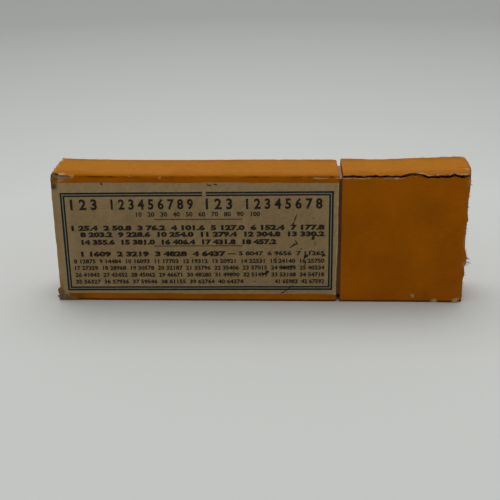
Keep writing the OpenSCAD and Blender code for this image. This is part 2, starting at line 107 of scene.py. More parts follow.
class BoxSizes(bpy.types.PropertyGroup):
    edge_radius: length_setting("Edge radius", "Rounding of the covered board edges", 0.9, 0.4, 1.2)
    paper: length_setting("Paper", "Thickness of the wrap paper", 0.15, 0.1, 0.25)
    grid: length_setting("Grid", "Spacing of the vertices that the wear is shaped with", 0.8, 0.5, 2)
    cap_swell: length_setting("Cap swell", "How far the split cap stands open at its far end", 0.65, 0, 0.9)
    body_swell: length_setting(
        "Body swell", "How far the body's walls stand out at its closed end", 0.45, 0, 0.9)
    foot_radius: length_setting(
        "Foot radius", "Rounding of the edges that the box stands on", 0.32, 0.2, 0.9)
    bow: length_setting("Bow", "How far the cap's end wall bows out in the middle", 1.2, 0, 1.5)
    tear: length_setting("Tear", "Mean width of the tear along the cap's top edge", 0.6, 0.1, 0.8)
    fibres: IntProperty(
        name="Fibres", description="How many loose paper fibres stand out of the torn edges",
        default=190, min=0, max=400)


class BoxColours(bpy.types.PropertyGroup):
    orange: colour_setting("Orange paper", "Dyed wrap paper where it kept its colour", "985300")
    # The faded colour on the top is bleaching and also a painted sheen of the lit top
    faded: colour_setting("Faded paper", "The same paper where daylight bleached it", "A4691A")
    rubbed: colour_setting("Rubbed paper", "Pale core of the paper where the dye is rubbed off", "AE9264")
    board: colour_setting("Greyboard", "Bare board under the paper", "85735A")
    label: colour_setting("Label", "Aged label paper at its margin", "937C57")
    label_brown: colour_setting("Label, browned", "Aged label paper inside the rules", "87714E")
    ink: colour_setting("Ink", "Letterpress ink of the rules and numbers", "0B0B0A")
    neck: colour_setting("Neck lining", "Pinkish card of the neck", "B08C78")


class StageSettings(bpy.types.PropertyGroup):
    floor: colour_setting("Floor", "Pale floor round the box", "C7C9C6")
    # The far floor colour is a painted falloff of the light away from the box
    floor_far: colour_setting("Floor, far", "Pale floor half a metre away from the box", "9D9F9C")
    floor_radius: length_setting("Floor radius", "Radius of the round floor", 2400, 1000, 6000)
    key: FloatProperty(
        name="Key light", description="Power of the soft light above and behind the box",
        default=9.5, min=0, max=100, unit="POWER")
    sky: FloatProperty(
        name="Sky", description="Strength of the even light from all round",
        default=0.55, min=0, max=2)


def set_inputs(tree, node, inputs):
    """Link each input of a node that is given as a socket, and set any other on the node itself."""
    for key, value in inputs.items():
        if isinstance(value, bpy.types.NodeSocket):
            tree.links.new(value, node.inputs[key])
        else:
            node.inputs[key].default_value = value


def add_node(tree, kind, inputs=(), stops=(), **settings):
    """Add a shader node with its settings and inputs, and a ramp with its stops of place and colour."""
    made = tree.nodes.new("ShaderNode" + kind)
    for name, value in settings.items():
        setattr(made, name, value)
    set_inputs(tree, made, dict(inputs))
    if stops:
        ramp = made.color_ramp.elements
        while len(ramp) < len(stops):
            ramp.new(1)
        for element, (place, colour) in zip(ramp, stops):
            element.position = place
            element.color = [*colour, 1]
    return made


def new_material(name):
    """A material with an empty tree, its output and its principled shader, and its places in mm."""
    material = bpy.data.materials.new(name)
    material.use_nodes = True
    tree = material.node_tree
    tree.nodes.clear()
    shader = add_node(tree, "BsdfPrincipled")
    add_node(tree, "OutputMaterial", {"Surface": shader.outputs[0]})
    places = add_node(tree, "TexCoord").outputs["Object"]
    in_mm = add_node(tree, "Mapping", {"Vector": places, "Scale": [1 / MM] * 3}).outputs[0]
    return material, tree, shader, in_mm


def shaded(tree, base, pattern, low, high):
    """Multiply a base colour by a pattern, from low in its dark parts to high in its pale ones."""
    shade = add_node(tree, "MapRange", {0: pattern, 1: 0.3, 2: 0.7, 3: low, 4: high}).outputs[0]
    return add_node(tree, "Mix", {MIX_FACTOR: 1, MIX_A: base, MIX_B: shade},
                    data_type="RGBA", blend_type="MULTIPLY").outputs[MIX_OUT]


def stained(tree, base, attribute, pattern, share, start, full, most, colour):
    """Lay a colour over a base where an attribute is painted, broken up by a share of a pattern.

    It begins where the attribute and that share add up to start, and where they reach full it covers
    the base as far as most says.
    """
    painted = add_node(tree, "Attribute", attribute_name=attribute).outputs["Fac"]
    broken = add_node(tree, "Math", {0: pattern, 1: share, 2: painted}, operation="MULTIPLY_ADD").outputs[0]
    cover = add_node(tree, "MapRange", {0: broken, 1: start, 2: full, 3: 0, 4: most}).outputs[0]
    return add_node(tree, "Mix", {MIX_FACTOR: cover, MIX_A: base, MIX_B: [*colour, 1]},
                    data_type="RGBA").outputs[MIX_OUT]


def dyed_wrap_paper(name, colours):
    """Dyed wrap paper, glued over board: matt, mottled in the hand, with a faint fibre and rubbed spots."""
    material, tree, shader, places = new_material(name)
    # Clouds of 10 mm from uneven dye, mottling of 1.5 mm from the board below, fibres of 0.25 by 2 mm
    cloud = add_node(tree, "TexNoise", {"Vector": places, "Scale": 0.1, "Detail": 5}).outputs[0]
    mottle = add_node(tree, "TexNoise", {"Vector": places, "Scale": 0.65, "Detail": 4}).outputs[0]
    along = add_node(tree, "Mapping", {"Vector": places, "Scale": [0.5, 2, 4]}).outputs[0]
    fibre = add_node(tree, "TexNoise", {"Vector": along, "Scale": 1, "Detail": 3}).outputs[0]
    fleck = add_node(tree, "TexNoise", {"Vector": places, "Scale": 3.2, "Detail": 2}).outputs[0]
    darker = [c * 0.88 for c in colours.orange]
    lighter = [c * 1.08 for c in colours.orange]
    dye = add_node(tree, "ValToRGB", {0: cloud}, [(0.36, darker), (0.64, lighter)]).outputs[0]
    # Bleached where the daylight fell, and the same pale colour paints the sheen of the lit top, unevenly
    # as the mottling goes
    fade = add_node(tree, "Attribute", attribute_name="fade").outputs["Fac"]
    uneven = add_node(tree, "MapRange", {0: mottle, 1: 0.3, 2: 0.7, 3: 0.72, 4: 1.1}).outputs[0]
    bleach_and_sheen = add_node(tree, "Math", {0: fade, 1: uneven}, operation="MULTIPLY", use_clamp=True).outputs[0]
    tint = add_node(tree, "Mix", {MIX_FACTOR: bleach_and_sheen, MIX_A: dye, MIX_B: [*colours.faded, 1]},
                    data_type="RGBA").outputs[MIX_OUT]
    # Painted shade in the top edge's crease, along the foot and by the seam, and real soiling at handled
    # corners
    grime = add_node(tree, "Attribute", attribute_name="grime").outputs["Fac"]
    grime = add_node(tree, "Math", {0: grime, 1: mottle}, operation="MULTIPLY").outputs[0]
    grime = add_node(tree, "MapRange", {0: grime, 1: 0.12, 2: 0.5, 3: 0, 4: 0.85}).outputs[0]
    tint = add_node(tree, "Mix", {MIX_FACTOR: grime, MIX_A: tint, MIX_B: [*GRIME_AND_SHADE_BROWN, 1]},
                    data_type="RGBA").outputs[MIX_OUT]
    tint = shaded(tree, tint, fibre, low=0.9, high=1.08)
    # The dye is rubbed off where the attribute says, broken up by the fleck of the fibres
    tint = stained(tree, tint, "rub", fleck, share=0.9, start=0.86, full=1.08, most=0.9,
                   colour=colours.rubbed)
    relief = add_node(tree, "Math", {0: fibre, 1: fleck}, operation="ADD").outputs[0]
    bump = add_node(tree, "Bump", {"Height": relief, "Strength": 0.35, "Distance": 0.05 * MM}).outputs[0]
    set_inputs(tree, shader, {
        "Base Color": tint, "Normal": bump, "Roughness": 0.72, "IOR": 1.46, "Specular IOR Level": 0.04})
    return material


# The neck's strip of painted shade in the seam's gap, in mm: where it starts to fade and has faded out, off
# the seam in X and in from the front in Y. The last number is how much of the brown it takes.
STRIP_HALF, STRIP_FADED, STRIP_IN, STRIP_END, STRIP_SHADE = 0.9, 1.6, -6.3, -5.4, 0.55


def grey_chipboard(name, colour, spread=0.75, shade_strip_x=None):
    """Greyboard from waste paper: dull grey-brown, with dark and pale specks and a rough bare surface.

    spread says how dark the dark specks are, as a share of the colour. The last argument is the place in X,
    in mm, of a strip of the front wall that is darkened with painted shade, the shade of the seam's gap.
    """
    material, tree, shader, places = new_material(name)
    pulp = add_node(tree, "TexNoise", {"Vector": places, "Scale": 1.1, "Detail": 6}).outputs[0]
    speck = add_node(tree, "TexNoise", {"Vector": places, "Scale": 4.5, "Detail": 2}).outputs[0]
    mixed = add_node(tree, "Math", {0: pulp, 1: speck}, operation="ADD").outputs[0]
    halved = add_node(tree, "Math", {0: mixed, 1: 0.5}, operation="MULTIPLY").outputs[0]
    stops = [(0.35, [c * spread for c in colour]), (0.5, colour), (0.68, [c * 1.25 for c in colour])]
    tint = add_node(tree, "ValToRGB", {0: halved}, stops).outputs[0]
    # Painted shade in the seam's gap: a strip darkened towards the front, where the neck shows between the
    # rims
    if shade_strip_x is not None:
        x, y, _ = add_node(tree, "SeparateXYZ", {0: places}).outputs
        away = add_node(tree, "Math", {0: x, 1: shade_strip_x}, operation="SUBTRACT").outputs[0]
        away = add_node(tree, "Math", {0: away}, operation="ABSOLUTE").outputs[0]
        strip = add_node(tree, "MapRange", {0: away, 1: STRIP_HALF, 2: STRIP_FADED, 3: STRIP_SHADE, 4: 0})
        front = add_node(tree, "MapRange", {0: y, 1: STRIP_IN, 2: STRIP_END, 3: 1, 4: 0}).outputs[0]
        dirt_and_shade = add_node(tree, "Math", {0: strip.outputs[0], 1: front}, operation="MULTIPLY").outputs[0]
        tint = add_node(tree, "Mix", {MIX_FACTOR: dirt_and_shade, MIX_A: tint, MIX_B: [*GRIME_AND_SHADE_BROWN, 1]},
                        data_type="RGBA").outputs[MIX_OUT]
    bump = add_node(tree, "Bump", {"Height": mixed, "Strength": 0.6, "Distance": 0.08 * MM}).outputs[0]
    set_inputs(tree, shader, {
        "Base Color": tint, "Normal": bump, "Roughness": 0.9, "Specular IOR Level": 0.15})
    return material


def aged_label_stock(colours):
    """Cream label stock gone brown with age: mottled, foxed, and rubbed to rust at the box's edge."""
    material, tree, shader, places = new_material("aged_label_stock")
    cloud = add_node(tree, "TexNoise", {"Vector": places, "Scale": 0.16, "Detail": 6}).outputs[0]
    mottle = add_node(tree, "TexNoise", {"Vector": places, "Scale": 0.9, "Detail": 4}).outputs[0]
    grain = add_node(tree, "TexNoise", {"Vector": places, "Scale": 5, "Detail": 2}).outputs[0]
    brown = add_node(tree, "Attribute", attribute_name="browned").outputs["Fac"]
    uneven = add_node(tree, "MapRange", {0: cloud, 1: 0.35, 2: 0.65, 3: -0.35, 4: 0.35}).outputs[0]
    browned = add_node(tree, "Math", {0: brown, 1: uneven}, operation="ADD", use_clamp=True).outputs[0]
    margin, inside = [*colours.label, 1], [*colours.label_brown, 1]
    base = add_node(tree, "Mix", {MIX_FACTOR: browned, MIX_A: margin, MIX_B: inside},
                    data_type="RGBA").outputs[MIX_OUT]
    base = shaded(tree, base, mottle, low=0.88, high=1.1)
    base = shaded(tree, base, grain, low=0.9, high=1.1)
    # Foxing: round brown spots of about 0.5 mm, scattered 4 mm apart
    cell = add_node(tree, "TexVoronoi", {"Vector": places, "Scale": 0.24}).outputs["Distance"]
    spot = add_node(tree, "MapRange", {0: cell, 1: 0.04, 2: 0.09, 3: 0.55, 4: 0}).outputs[0]
    base = add_node(tree, "Mix", {MIX_FACTOR: spot, MIX_A: base, MIX_B: [*tone("4E3A22"), 1]},
                    data_type="RGBA").outputs[MIX_OUT]
    # Dirt, rust-brown rubbing and pale flecks, painted on the sheet
    dirt_and_shade, rust, core = tone("2E261A"), tone("8A6026"), tone("C4B08C")
    base = stained(tree, base, "grime", mottle, share=0.8, start=0.55, full=1.25, most=0.9, colour=dirt_and_shade)
    base = stained(tree, base, "rust", mottle, share=0.9, start=0.8, full=1.2, most=0.85, colour=rust)
    base = stained(tree, base, "rub", grain, share=0.9, start=0.9, full=1.1, most=0.8, colour=core)
    bump = add_node(tree, "Bump", {"Height": grain, "Strength": 0.3, "Distance": 0.04 * MM}).outputs[0]
    set_inputs(tree, shader, {
        "Base Color": base, "Normal": bump, "Roughness": 0.78, "Specular IOR Level": 0.18})
    return material


def letterpress_ink(name, colour, worn):
    """Letterpress ink pressed into soft paper: near-black and matt, thinner where the type was worn."""
    material, tree, shader, places = new_material(name)
    thin = add_node(tree, "TexNoise", {"Vector": places, "Scale": 2.4, "Detail": 3}).outputs[0]
    mixed = add_node(tree, "MapRange", {0: thin, 1: 0.5, 2: 0.75, 3: 0, 4: 0.4}).outputs[0]
    tint = add_node(tree, "Mix", {MIX_FACTOR: mixed, MIX_A: [*colour, 1], MIX_B: [*worn, 1]},
                    data_type="RGBA").outputs[MIX_OUT]
    set_inputs(tree, shader, {"Base Color": tint, "Roughness": 0.7, "Specular IOR Level": 0.2})
    return material


def aged_metal(name, bright, dull, roughness):
    """Plated or bare metal, turned and handled: the cut's fine grain under soft clouds of tarnish."""
    material, tree, shader, places = new_material(name)
    stain = add_node(tree, "TexNoise", {"Vector": places, "Scale": 0.13, "Detail": 6}).outputs[0]
    tint = add_node(tree, "ValToRGB", {0: stain}, [(0.38, bright), (0.9, dull)]).outputs[0]
    fine = add_node(tree, "TexNoise", {"Vector": places, "Scale": 6, "Detail": 3}).outputs[0]
    both = add_node(tree, "Math", {0: stain, 1: fine}, operation="ADD").outputs[0]
    rough = add_node(tree, "MapRange", {0: both, 1: 0.7, 2: 1.3, 3: roughness * 0.75, 4: roughness * 1.5})
    bump = add_node(tree, "Bump", {"Height": fine, "Strength": 0.12, "Distance": 0.02 * MM}).outputs[0]
    set_inputs(tree, shader, {
        "Base Color": tint, "Normal": bump, "Roughness": rough.outputs[0], "Metallic": 1})
    return material


def enamelled_dial():
    """Painted tin dial: warm white, faintly yellowed, with a soft sheen."""
    material, tree, shader, places = new_material("enamelled_dial")
    age = add_node(tree, "TexNoise", {"Vector": places, "Scale": 0.2, "Detail": 5}).outputs[0]
    tint = add_node(tree, "ValToRGB", {0: age}, [(0.35, tone("EDE6D2")), (0.7, tone("DCCFAE"))]).outputs[0]
    set_inputs(tree, shader, {"Base Color": tint, "Roughness": 0.4, "IOR": 1.5})
    return material


def watch_glass():
    """Thin domed mineral glass: clear, with a bright reflection. It lets most light through to the dial."""
    material, tree, shader, places = new_material("mineral_watch_glass")
    smear = add_node(tree, "TexNoise", {"Vector": places, "Scale": 0.3, "Detail": 4}).outputs[0]
    haze = add_node(tree, "MapRange", {0: smear, 1: 0.4, 2: 0.8, 3: 0.01, 4: 0.05}).outputs[0]
    set_inputs(tree, shader, {
        "Base Color": [*tone("FCFDFC"), 1], "Roughness": haze, "Alpha": 0.35,
        "Transmission Weight": 1, "IOR": 1.5})
    return material


def ebonised_wood():
    """Turned beech, stained black and waxed: brown where hands wore it, with fine grain along it."""
    material, tree, shader, places = new_material("ebonised_beech")
    along = add_node(tree, "Mapping", {"Vector": places, "Scale": [0.12, 2.2, 2.2]}).outputs[0]
    grain = add_node(tree, "TexNoise", {"Vector": along, "Scale": 1, "Detail": 5}).outputs[0]
    wear = add_node(tree, "TexNoise", {"Vector": places, "Scale": 0.11, "Detail": 4}).outputs[0]
    both = add_node(tree, "Math", {0: grain, 1: wear}, operation="ADD").outputs[0]
    half = add_node(tree, "Math", {0: both, 1: 0.5}, operation="MULTIPLY").outputs[0]
    tint = add_node(tree, "ValToRGB", {0: half},
                    [(0.4, tone("17110D")), (0.55, tone("2A1B12")), (0.66, tone("5A3A22"))]).outputs[0]
    bump = add_node(tree, "Bump", {"Height": grain, "Strength": 0.25, "Distance": 0.05 * MM}).outputs[0]
    set_inputs(tree, shader, {
        "Base Color": tint, "Normal": bump, "Roughness": 0.34, "Coat Weight": 0.3, "Coat Roughness": 0.25})
    return material


def deselect():
    """Leave edit mode and select nothing."""
    if bpy.context.object and bpy.context.object.mode != "OBJECT":
        bpy.ops.object.mode_set(mode="OBJECT")
    bpy.ops.object.select_all(action="DESELECT")


def only(piece):
    """Select one object and make it the active one."""
    deselect()
    piece.select_set(True)
    bpy.context.view_layer.objects.active = piece
    return piece


def named(name):
    """Name the object that was just added, and its mesh."""
    piece = bpy.context.object
    piece.name = name
    piece.data.name = name
    return piece


def finish_piece(piece, body, material, replaced=()):
    """Give a finished mesh its material, hang it on the body it rides on and hide the parts it replaces."""
    piece.data.materials.clear()
    piece.data.materials.append(material)
    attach(piece, body)
    if replaced:
        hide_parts(*replaced)
    return piece


def apply_modifier(piece, name, kind, **settings):
    """Add a modifier with its settings and apply it."""
    only(piece)
    modifier = piece.modifiers.new(name, kind)
    for key, value in settings.items():
        setattr(modifier, key, value)
    bpy.ops.object.modifier_apply(modifier=name)


def smooth(piece, degrees):
    """Shade a piece smooth, apart from edges that turn more than this."""
    only(piece)
    bpy.ops.object.shade_smooth_by_angle(angle=math.radians(degrees))


def block(name, low, high):
    """A block between two corners in mm, its place in its mesh."""
    deselect()
    bpy.ops.mesh.primitive_cube_add(size=1, location=(low + high) / 2 * MM, scale=(high - low) * MM)
    made = named(name)
    bpy.ops.object.transform_apply(location=True, rotation=True, scale=True)
    return made


def select_where(piece, kind, test):
    """Select only the faces or edges that pass a test, on the mesh that is being edited."""
    bpy.ops.mesh.select_all(action="DESELECT")
    mesh = bmesh.from_edit_mesh(piece.data)
    for element in getattr(mesh, kind):
        if test(element):
            element.select_set(True)
    bmesh.update_edit_mesh(piece.data)


def cut_away(piece, cutter):
    """Cut a closed mesh out of another and remove the cutter."""
    apply_modifier(piece, "cut", "BOOLEAN", object=cutter, operation="DIFFERENCE", solver="EXACT")
    bpy.data.objects.remove(cutter)


def bisect_grid(piece, axis, start, end, step):
    """Cut a mesh across one axis at even steps, so that it has vertices to shape."""
    only(piece)
    bpy.ops.object.mode_set(mode="EDIT")
    normal = [0, 0, 0]
    normal[axis] = 1
    count = max(2, round((end - start) / step))
    for i in range(1, count):
        place = [0, 0, 0]
        place[axis] = start + (end - start) * i / count
        bpy.ops.mesh.select_all(action="SELECT")
        bpy.ops.mesh.bisect(plane_co=place, plane_no=normal)
    bpy.ops.object.mode_set(mode="OBJECT")


# Noise is drawn out to about -1 to 1, and each seed reads it this much further on
NOISE_GAIN = 1.6
SEED_STEPS = (13.7, 5.3, 9.1)


def ripple(place, size, seed):
    """Smooth noise from about -1 to 1 at a place in mm, with features of the given size."""
    shift = Vector([seed * step for step in SEED_STEPS])
    return NOISE_GAIN * noise.noise(Vector(place) / size + shift)


def ramp_up(value, start, end):
    """0 before start, 1 after end, smooth between."""
    t = min(max((value - start) / (end - start), 0.0), 1.0)
    return t * t * (3 - 2 * t)


def near(place, centre, reach):
    """1 at the centre, falling to 0 at the reach."""
    return ramp_up(1 - (Vector(place) - Vector(centre)).length / reach, 0, 1)


def spotted(place, spots):
    """How strongly a place in mm is covered by spots, each a centre, a reach and a strength."""
    return sum(strength * near(place, centre, reach) for centre, reach, strength in spots)


def paint(piece, **attributes):
    """Fill named attributes of a mesh from functions of the place in mm."""
    for name, value_at in attributes.items():
        made = piece.data.attributes.new(name, "FLOAT", "POINT")
        made.data.foreach_set("value", [value_at(v.co / MM) for v in piece.data.vertices])


# Half the box's width, its height, the seam, and the depth over which an outer face's weight fades
BOX_HALF_Y = BODY_HIGH.y
BOX_TOP = BODY_HIGH.z
SEAM_X = (BODY_HIGH.x + CAP_LOW.x) / 2
EDGE_ZONE = 1.7
# The broad walls stand out by this share of what the top does
BROAD_SHARE = 0.3
# How far the top curls up at its back, in mm: along the cap's far part, at the cap's mouth, along the body
CAP_CURL, MOUTH_CURL, BODY_CURL = 0.35, 0.28, 0.12
# Lumps and notches of the cap's frayed front corner: height, how far out, half length, in mm
CORNER_LUMPS = [
    (34, 0.15, 2.5), (25.6, 0.35, 0.9), (18.6, -0.5, 2.2),
    (13.4, 0.75, 1.9), (9.0, 0.35, 1.2), (6.2, -0.2, 1),
]
# The rims' wear is full within the first of these distances from the seam, in mm, and ends at the second
RIM_WEAR = (0.35, 1.9)
# How far it has moved the rims along X, in mm: the cap's off the seam, and more along its top; the body's
# off the seam, and its upper front towards it again; and the back of both tops towards the body
CAP_RIM, CAP_RIM_TOP, BODY_RIM, BODY_RIM_FRONT, RIM_TURN = 0.27, 0.2, 0.15, 0.3, 0.15
# How far the top has sunk at the rims, in mm
RIM_SINK = 0.15


def face_weights(place):
    """How much a place belongs to the end, broad and narrow faces: 1 on the face, 0 further in."""
    end = CAP_HIGH.x - place.x if place.x > SEAM_X else place.x - BODY_LOW.x
    depths = (end, BOX_HALF_Y - abs(place.y), min(place.z, BOX_TOP - place.z))
    return [min(max(1 - depth / EDGE_ZONE, 0.0), 1.0) for depth in depths]


def swollen(x, sizes):
    """How far the long walls stand out, in mm: both closed ends have opened, and the cap's rim a little."""
    if x > SEAM_X:
        share = (x - CAP_LOW.x) / (CAP_HIGH.x - CAP_LOW.x)
        return sizes.cap_swell / MM * share * abs(share) + 0.15 * math.exp(-abs(x - CAP_LOW.x) / 4)
    share = max(0.0, 1 - (x - BODY_LOW.x) / 30)
    return sizes.body_swell / MM * share * share


def top_curl(x):
    """How far the top's back edge has curled up at a place along the box, in mm."""
    if x > SEAM_X:
        mouth = 1 - ramp_up(x, CAP_LOW.x + 5, CAP_LOW.x + 11)
        return CAP_CURL * ramp_up(x, CAP_LOW.x + 6, CAP_LOW.x + 24) + MOUTH_CURL * mouth
    return BODY_CURL * ramp_up(x, -20, 0)


def cap_end_shift(inside, edge, sizes):
    """How far out the cap's end stands, in mm: it bows, leans out at its top and is frayed at its front."""
    across = inside.y / BOX_HALF_Y
    lumps = sum(out * math.exp(-((inside.z - height) / reach) ** 2) for height, out, reach in CORNER_LUMPS)
    frayed = edge * (0.2 * ripple(inside, 3.4, 5) + 0.16 * ripple(inside, 1.1, 6))
    rise = ramp_up(inside.z, 30, 38)
    bowed = sizes.bow / MM * (1 - across * across + 0.35 * across) * (0.8 - 0.45 * rise)
    leaning = (0.55 + 0.45 * across + 0.4 * math.exp(-((across + 0.1) / 0.5) ** 2)) * rise
    return frayed + ramp_up(-inside.y, 2, 7) * lumps + bowed + leaning + 0.05


def rim_shift(inside, cap, top):
    """How far wear has moved a rim at the seam along X, in mm; top is 1 on the box's top and 0 below."""
    if cap:
        shift = CAP_RIM + CAP_RIM_TOP * top
    else:
        forward = ramp_up(inside.z, 5, 20) * ramp_up(-inside.y, -8, 0)
        shift = BODY_RIM_FRONT * forward - BODY_RIM
    return shift - RIM_TURN * top * ramp_up(inside.y, -4, 4)


def weathered(place, sizes):
    """Where a place of the closed box, in mm, lies after years of handling. All its layers share this."""
    cap = place.x > SEAM_X
    high = place.z > BOX_TOP / 2
    end, broad, narrow = face_weights(place)
    edge = sorted((end, broad, narrow))[1]
    inside = Vector((
        place.x,
        min(max(place.y, -BOX_HALF_Y), BOX_HALF_Y),
        min(max(place.z, 0), BOX_TOP),
    ))
    # Every wall is a little wavy, its edges more so, and the foot lies nearly flat
    wave = 0.05 * ripple(inside, 16, 1) + 0.018 * ripple(inside, 4, 2)
    wave += edge * (0.07 * ripple(inside, 2.2, 3) + 0.05 * ripple(inside, 0.9, 4))
    swell = swollen(place.x, sizes)
    moved = Vector(place)
    moved.y += math.copysign(broad * (wave + BROAD_SHARE * swell), place.y)
    if high:
        moved.z += narrow * (wave + swell + top_curl(place.x) * ramp_up(inside.y, -3, BOX_HALF_Y))
    else:
        moved.z += narrow * abs(wave) * 0.4
    if cap:
        moved.x += end * cap_end_shift(inside, edge, sizes)
    else:
        across = inside.y / BOX_HALF_Y
        moved.x -= end * (wave + 0.3 + 0.25 * (1 - across * across))
    close = 1 - ramp_up(abs(place.x - SEAM_X), *RIM_WEAR)
    top = narrow if high else 0
    moved.x += close * rim_shift(inside, cap, top)
    moved.z -= RIM_SINK * top * close
    return moved


def weather(piece, sizes):
    """Move every vertex of a box piece to where wear has brought it."""
    for vertex in piece.data.vertices:
        vertex.co = weathered(vertex.co / MM, sizes) * MM


def wrap_shell(name, low, high, opening, throat, turn_in, sizes):
    """Paper skin of a box with rounded edges and one open end, whose rim turns in over the board.

    opening is 1 where the open end is the high one in X and -1 where it is the low one. throat holds
    the half width, the foot and the top of the inner opening. All lengths are in millimetres.
    """
    spare = 5
    rim = high.x if opening > 0 else low.x
    low, high = Vector(low), Vector(high)
    if opening > 0:
        high.x += spare
    else:
        low.x -= spare
    half_width, foot, top = throat
    middle = (low + high) / 2
    shell = block(name, low, high)
    bpy.ops.object.mode_set(mode="EDIT")
    standing = (low.z + 0.01) * MM
    select_where(shell, "edges", lambda edge: max(v.co.z for v in edge.verts) > standing)
    bpy.ops.mesh.bevel(offset=sizes.edge_radius, segments=6, affect="EDGES")
    select_where(shell, "edges", lambda edge: max(v.co.z for v in edge.verts) < standing)
    bpy.ops.mesh.bevel(offset=sizes.foot_radius, segments=3, affect="EDGES")
    bpy.ops.mesh.select_all(action="SELECT")
    bpy.ops.mesh.bisect(plane_co=(rim * MM, 0, 0), plane_no=(opening, 0, 0), clear_outer=True)
    # The rim: in to the throat, and back along it
    shrink = (1, half_width / high.y, (top - foot) / (high.z - low.z))
    bpy.ops.mesh.extrude_edges_move()
    bpy.ops.transform.resize(value=shrink, center_override=(rim * MM, 0, middle.z * MM))
    bpy.ops.mesh.extrude_edges_move()
    bpy.ops.transform.translate(value=(-opening * turn_in * MM, 0, 0))
    bpy.ops.object.mode_set(mode="OBJECT")
    for axis in range(3):
        bisect_grid(shell, axis, low[axis] * MM, high[axis] * MM, sizes.grid)
    only(shell)
    bpy.ops.object.mode_set(mode="EDIT")
    bpy.ops.mesh.select_all(action="SELECT")
    bpy.ops.mesh.remove_doubles(threshold=0.01 * MM)
    bpy.ops.mesh.normals_make_consistent(inside=False)
    bpy.ops.object.mode_set(mode="OBJECT")
    apply_modifier(shell, "thickness", "SOLIDIFY", thickness=sizes.paper, offset=-1)
    return shell


# How far a ragged lump strays from round, as a share of its size
LUMP_ROUGHNESS = 0.3


def ragged_lump(name, centre, reach, seed):
    """A ragged lump of the given half lengths along X, Y and Z, in mm."""
    deselect()
    bpy.ops.mesh.primitive_ico_sphere_add(subdivisions=4, radius=1)
    lump = named(name)
    centre, reach = Vector(centre), Vector(reach)
    for vertex in lump.data.vertices:
        arm = Vector(vertex.co)
        coarse, fine = ripple(arm, 0.9, seed), ripple(arm, 0.3, seed + 1)
        ragged = 1 + LUMP_ROUGHNESS * coarse + 0.5 * LUMP_ROUGHNESS * fine
        vertex.co = (centre + arm * ragged * reach) * MM
    return lump


def tear_patches(wrap, tears, seed):
    """Tear ragged patches out of a wrap, each a centre and its half lengths in mm."""
    for number, (centre, reach) in enumerate(tears):
        cut_away(wrap, ragged_lump("torn_patch", centre, reach, seed + number))


# Where the paper is torn through to the board: place, half lengths along X, Y and Z
BODY_TEARS = [
    ((-59.6, -8.2, 38.7), (2.0, 1.4, 1.9)),
    ((-57.0, -8.3, 38.3), (3.6, 0.9, 0.75)),
    ((-59.4, -8.3, 1.6), (1.3, 1.0, 1.8)),
    ((-59.5, 8.0, 39.2), (1.2, 1.2, 1.2)),
    ((22.9, -8.1, 0.2), (0.8, 0.8, 0.8)),
]
CAP_TEARS = [
    ((44.9, -8.5, 2.1), (0.7, 0.5, 0.6)),
    ((59.6, -8.2, 0.4), (1.2, 1.2, 1.2)),
    ((60.0, -8.3, 18.4), (0.8, 0.7, 1.8)),
    ((59.7, -8.0, 38.3), (0.8, 1.0, 1.6)),
    ((52.0, 8.4, 39.7), (0.9, 0.9, 0.8)),
    ((59.7, 8.1, 0.4), (1.1, 1.1, 1.1)),
]
# Where the dye is rubbed off: place, reach, strength
BODY_RUBS = [
    ((-56.5, -7.6, 38.9), 2.6, 0.5),
    ((-53.5, -7.8, 38.6), 1.6, 0.5),
    ((-57.2, -8.0, 37.5), 2.4, 0.4),
    ((-59.4, -4.5, 39.2), 2.6, 0.55),
    ((-59.4, 0.0, 39.2), 3.0, 0.5),
    ((-59.4, 5.0, 39.2), 2.6, 0.58),
    ((-37.4, -7.9, 38.9), 0.7, 0.6),
    ((-31.0, -8.0, 38.5), 0.7, 0.55),
    ((-28.4, -8.0, 38.4), 0.9, 0.55),
    ((-59.0, -8.0, 1.6), 3.6, 0.65),
    ((-56.0, -8.0, 0.9), 3.4, 0.24),
    ((-59.3, 7.6, 38.8), 3.0, 0.5),
    ((-59.3, 7.6, 0.6), 3.0, 0.4),
    ((22.5, 7.8, 39.0), 2.0, 0.4),
]
CAP_RUBS = [
    ((44.9, -8.0, 2.1), 1.7, 0.66),
    ((51.4, -8.0, 0.4), 1.5, 0.8),
    ((57.8, -8.0, 0.5), 2.4, 0.7),
    ((59.3, -7.8, 37.0), 2.4, 0.3),
    ((42.3, -7.1, 39.2), 1.5, 0.5),
    ((44.4, -7.0, 39.2), 1.7, 0.6),
    ((46.2, -7.2, 39.2), 1.4, 0.5),
    ((52.0, -3.0, 39.2), 0.7, 0.6),
    ((59.4, 7.4, 38.8), 4.0, 0.6),
    ((58.8, -4.0, 39.2), 2.2, 0.5),
    ((59.2, -7.9, 24.0), 2.0, 0.3),
    ((59.2, -7.9, 12.0), 4.0, 0.3),
]


# Handled corners of the body: place, reach, strength
BODY_GRIME = [((-59.3, -7.8, 38.6), 2.6, 0.9), ((-56.0, -8.0, 1.4), 8.0, 0.6)]
# Every edge has lost this much of its dye
EDGE_RUB = 0.2
# The painted shade of the crease lies this far up round the top front edge and reaches this far, in mm
CREASE_UP, CREASE_REACH = 0.36, 0.42


def rubbed_at(spots):
    """A function of place that says how far the dye is rubbed off."""
    def value(place):
        edge = sorted(face_weights(place))[1]
        return spotted(place, spots) + edge * (EDGE_RUB + 0.12 * ripple(place, 5, 8))
    return value


def faded_at(place):
    """The top lay in daylight: bleached most along its middle, and not at all below its edges.

    The same pale colour is also a painted sheen of the lit top.
    """
    across = 1 - abs(place.y + 0.2) / BOX_HALF_Y
    front = place.x > SEAM_X and place.y < 0
    start, end = (0.32, 0.58) if front else (0.12, 0.5)
    bleached = 0.4 + 0.6 * ramp_up(across + 0.12 * ripple(place, 6, 9), start, end)
    return bleached * ramp_up(place.z, BOX_TOP - 0.6, BOX_TOP - 0.1)


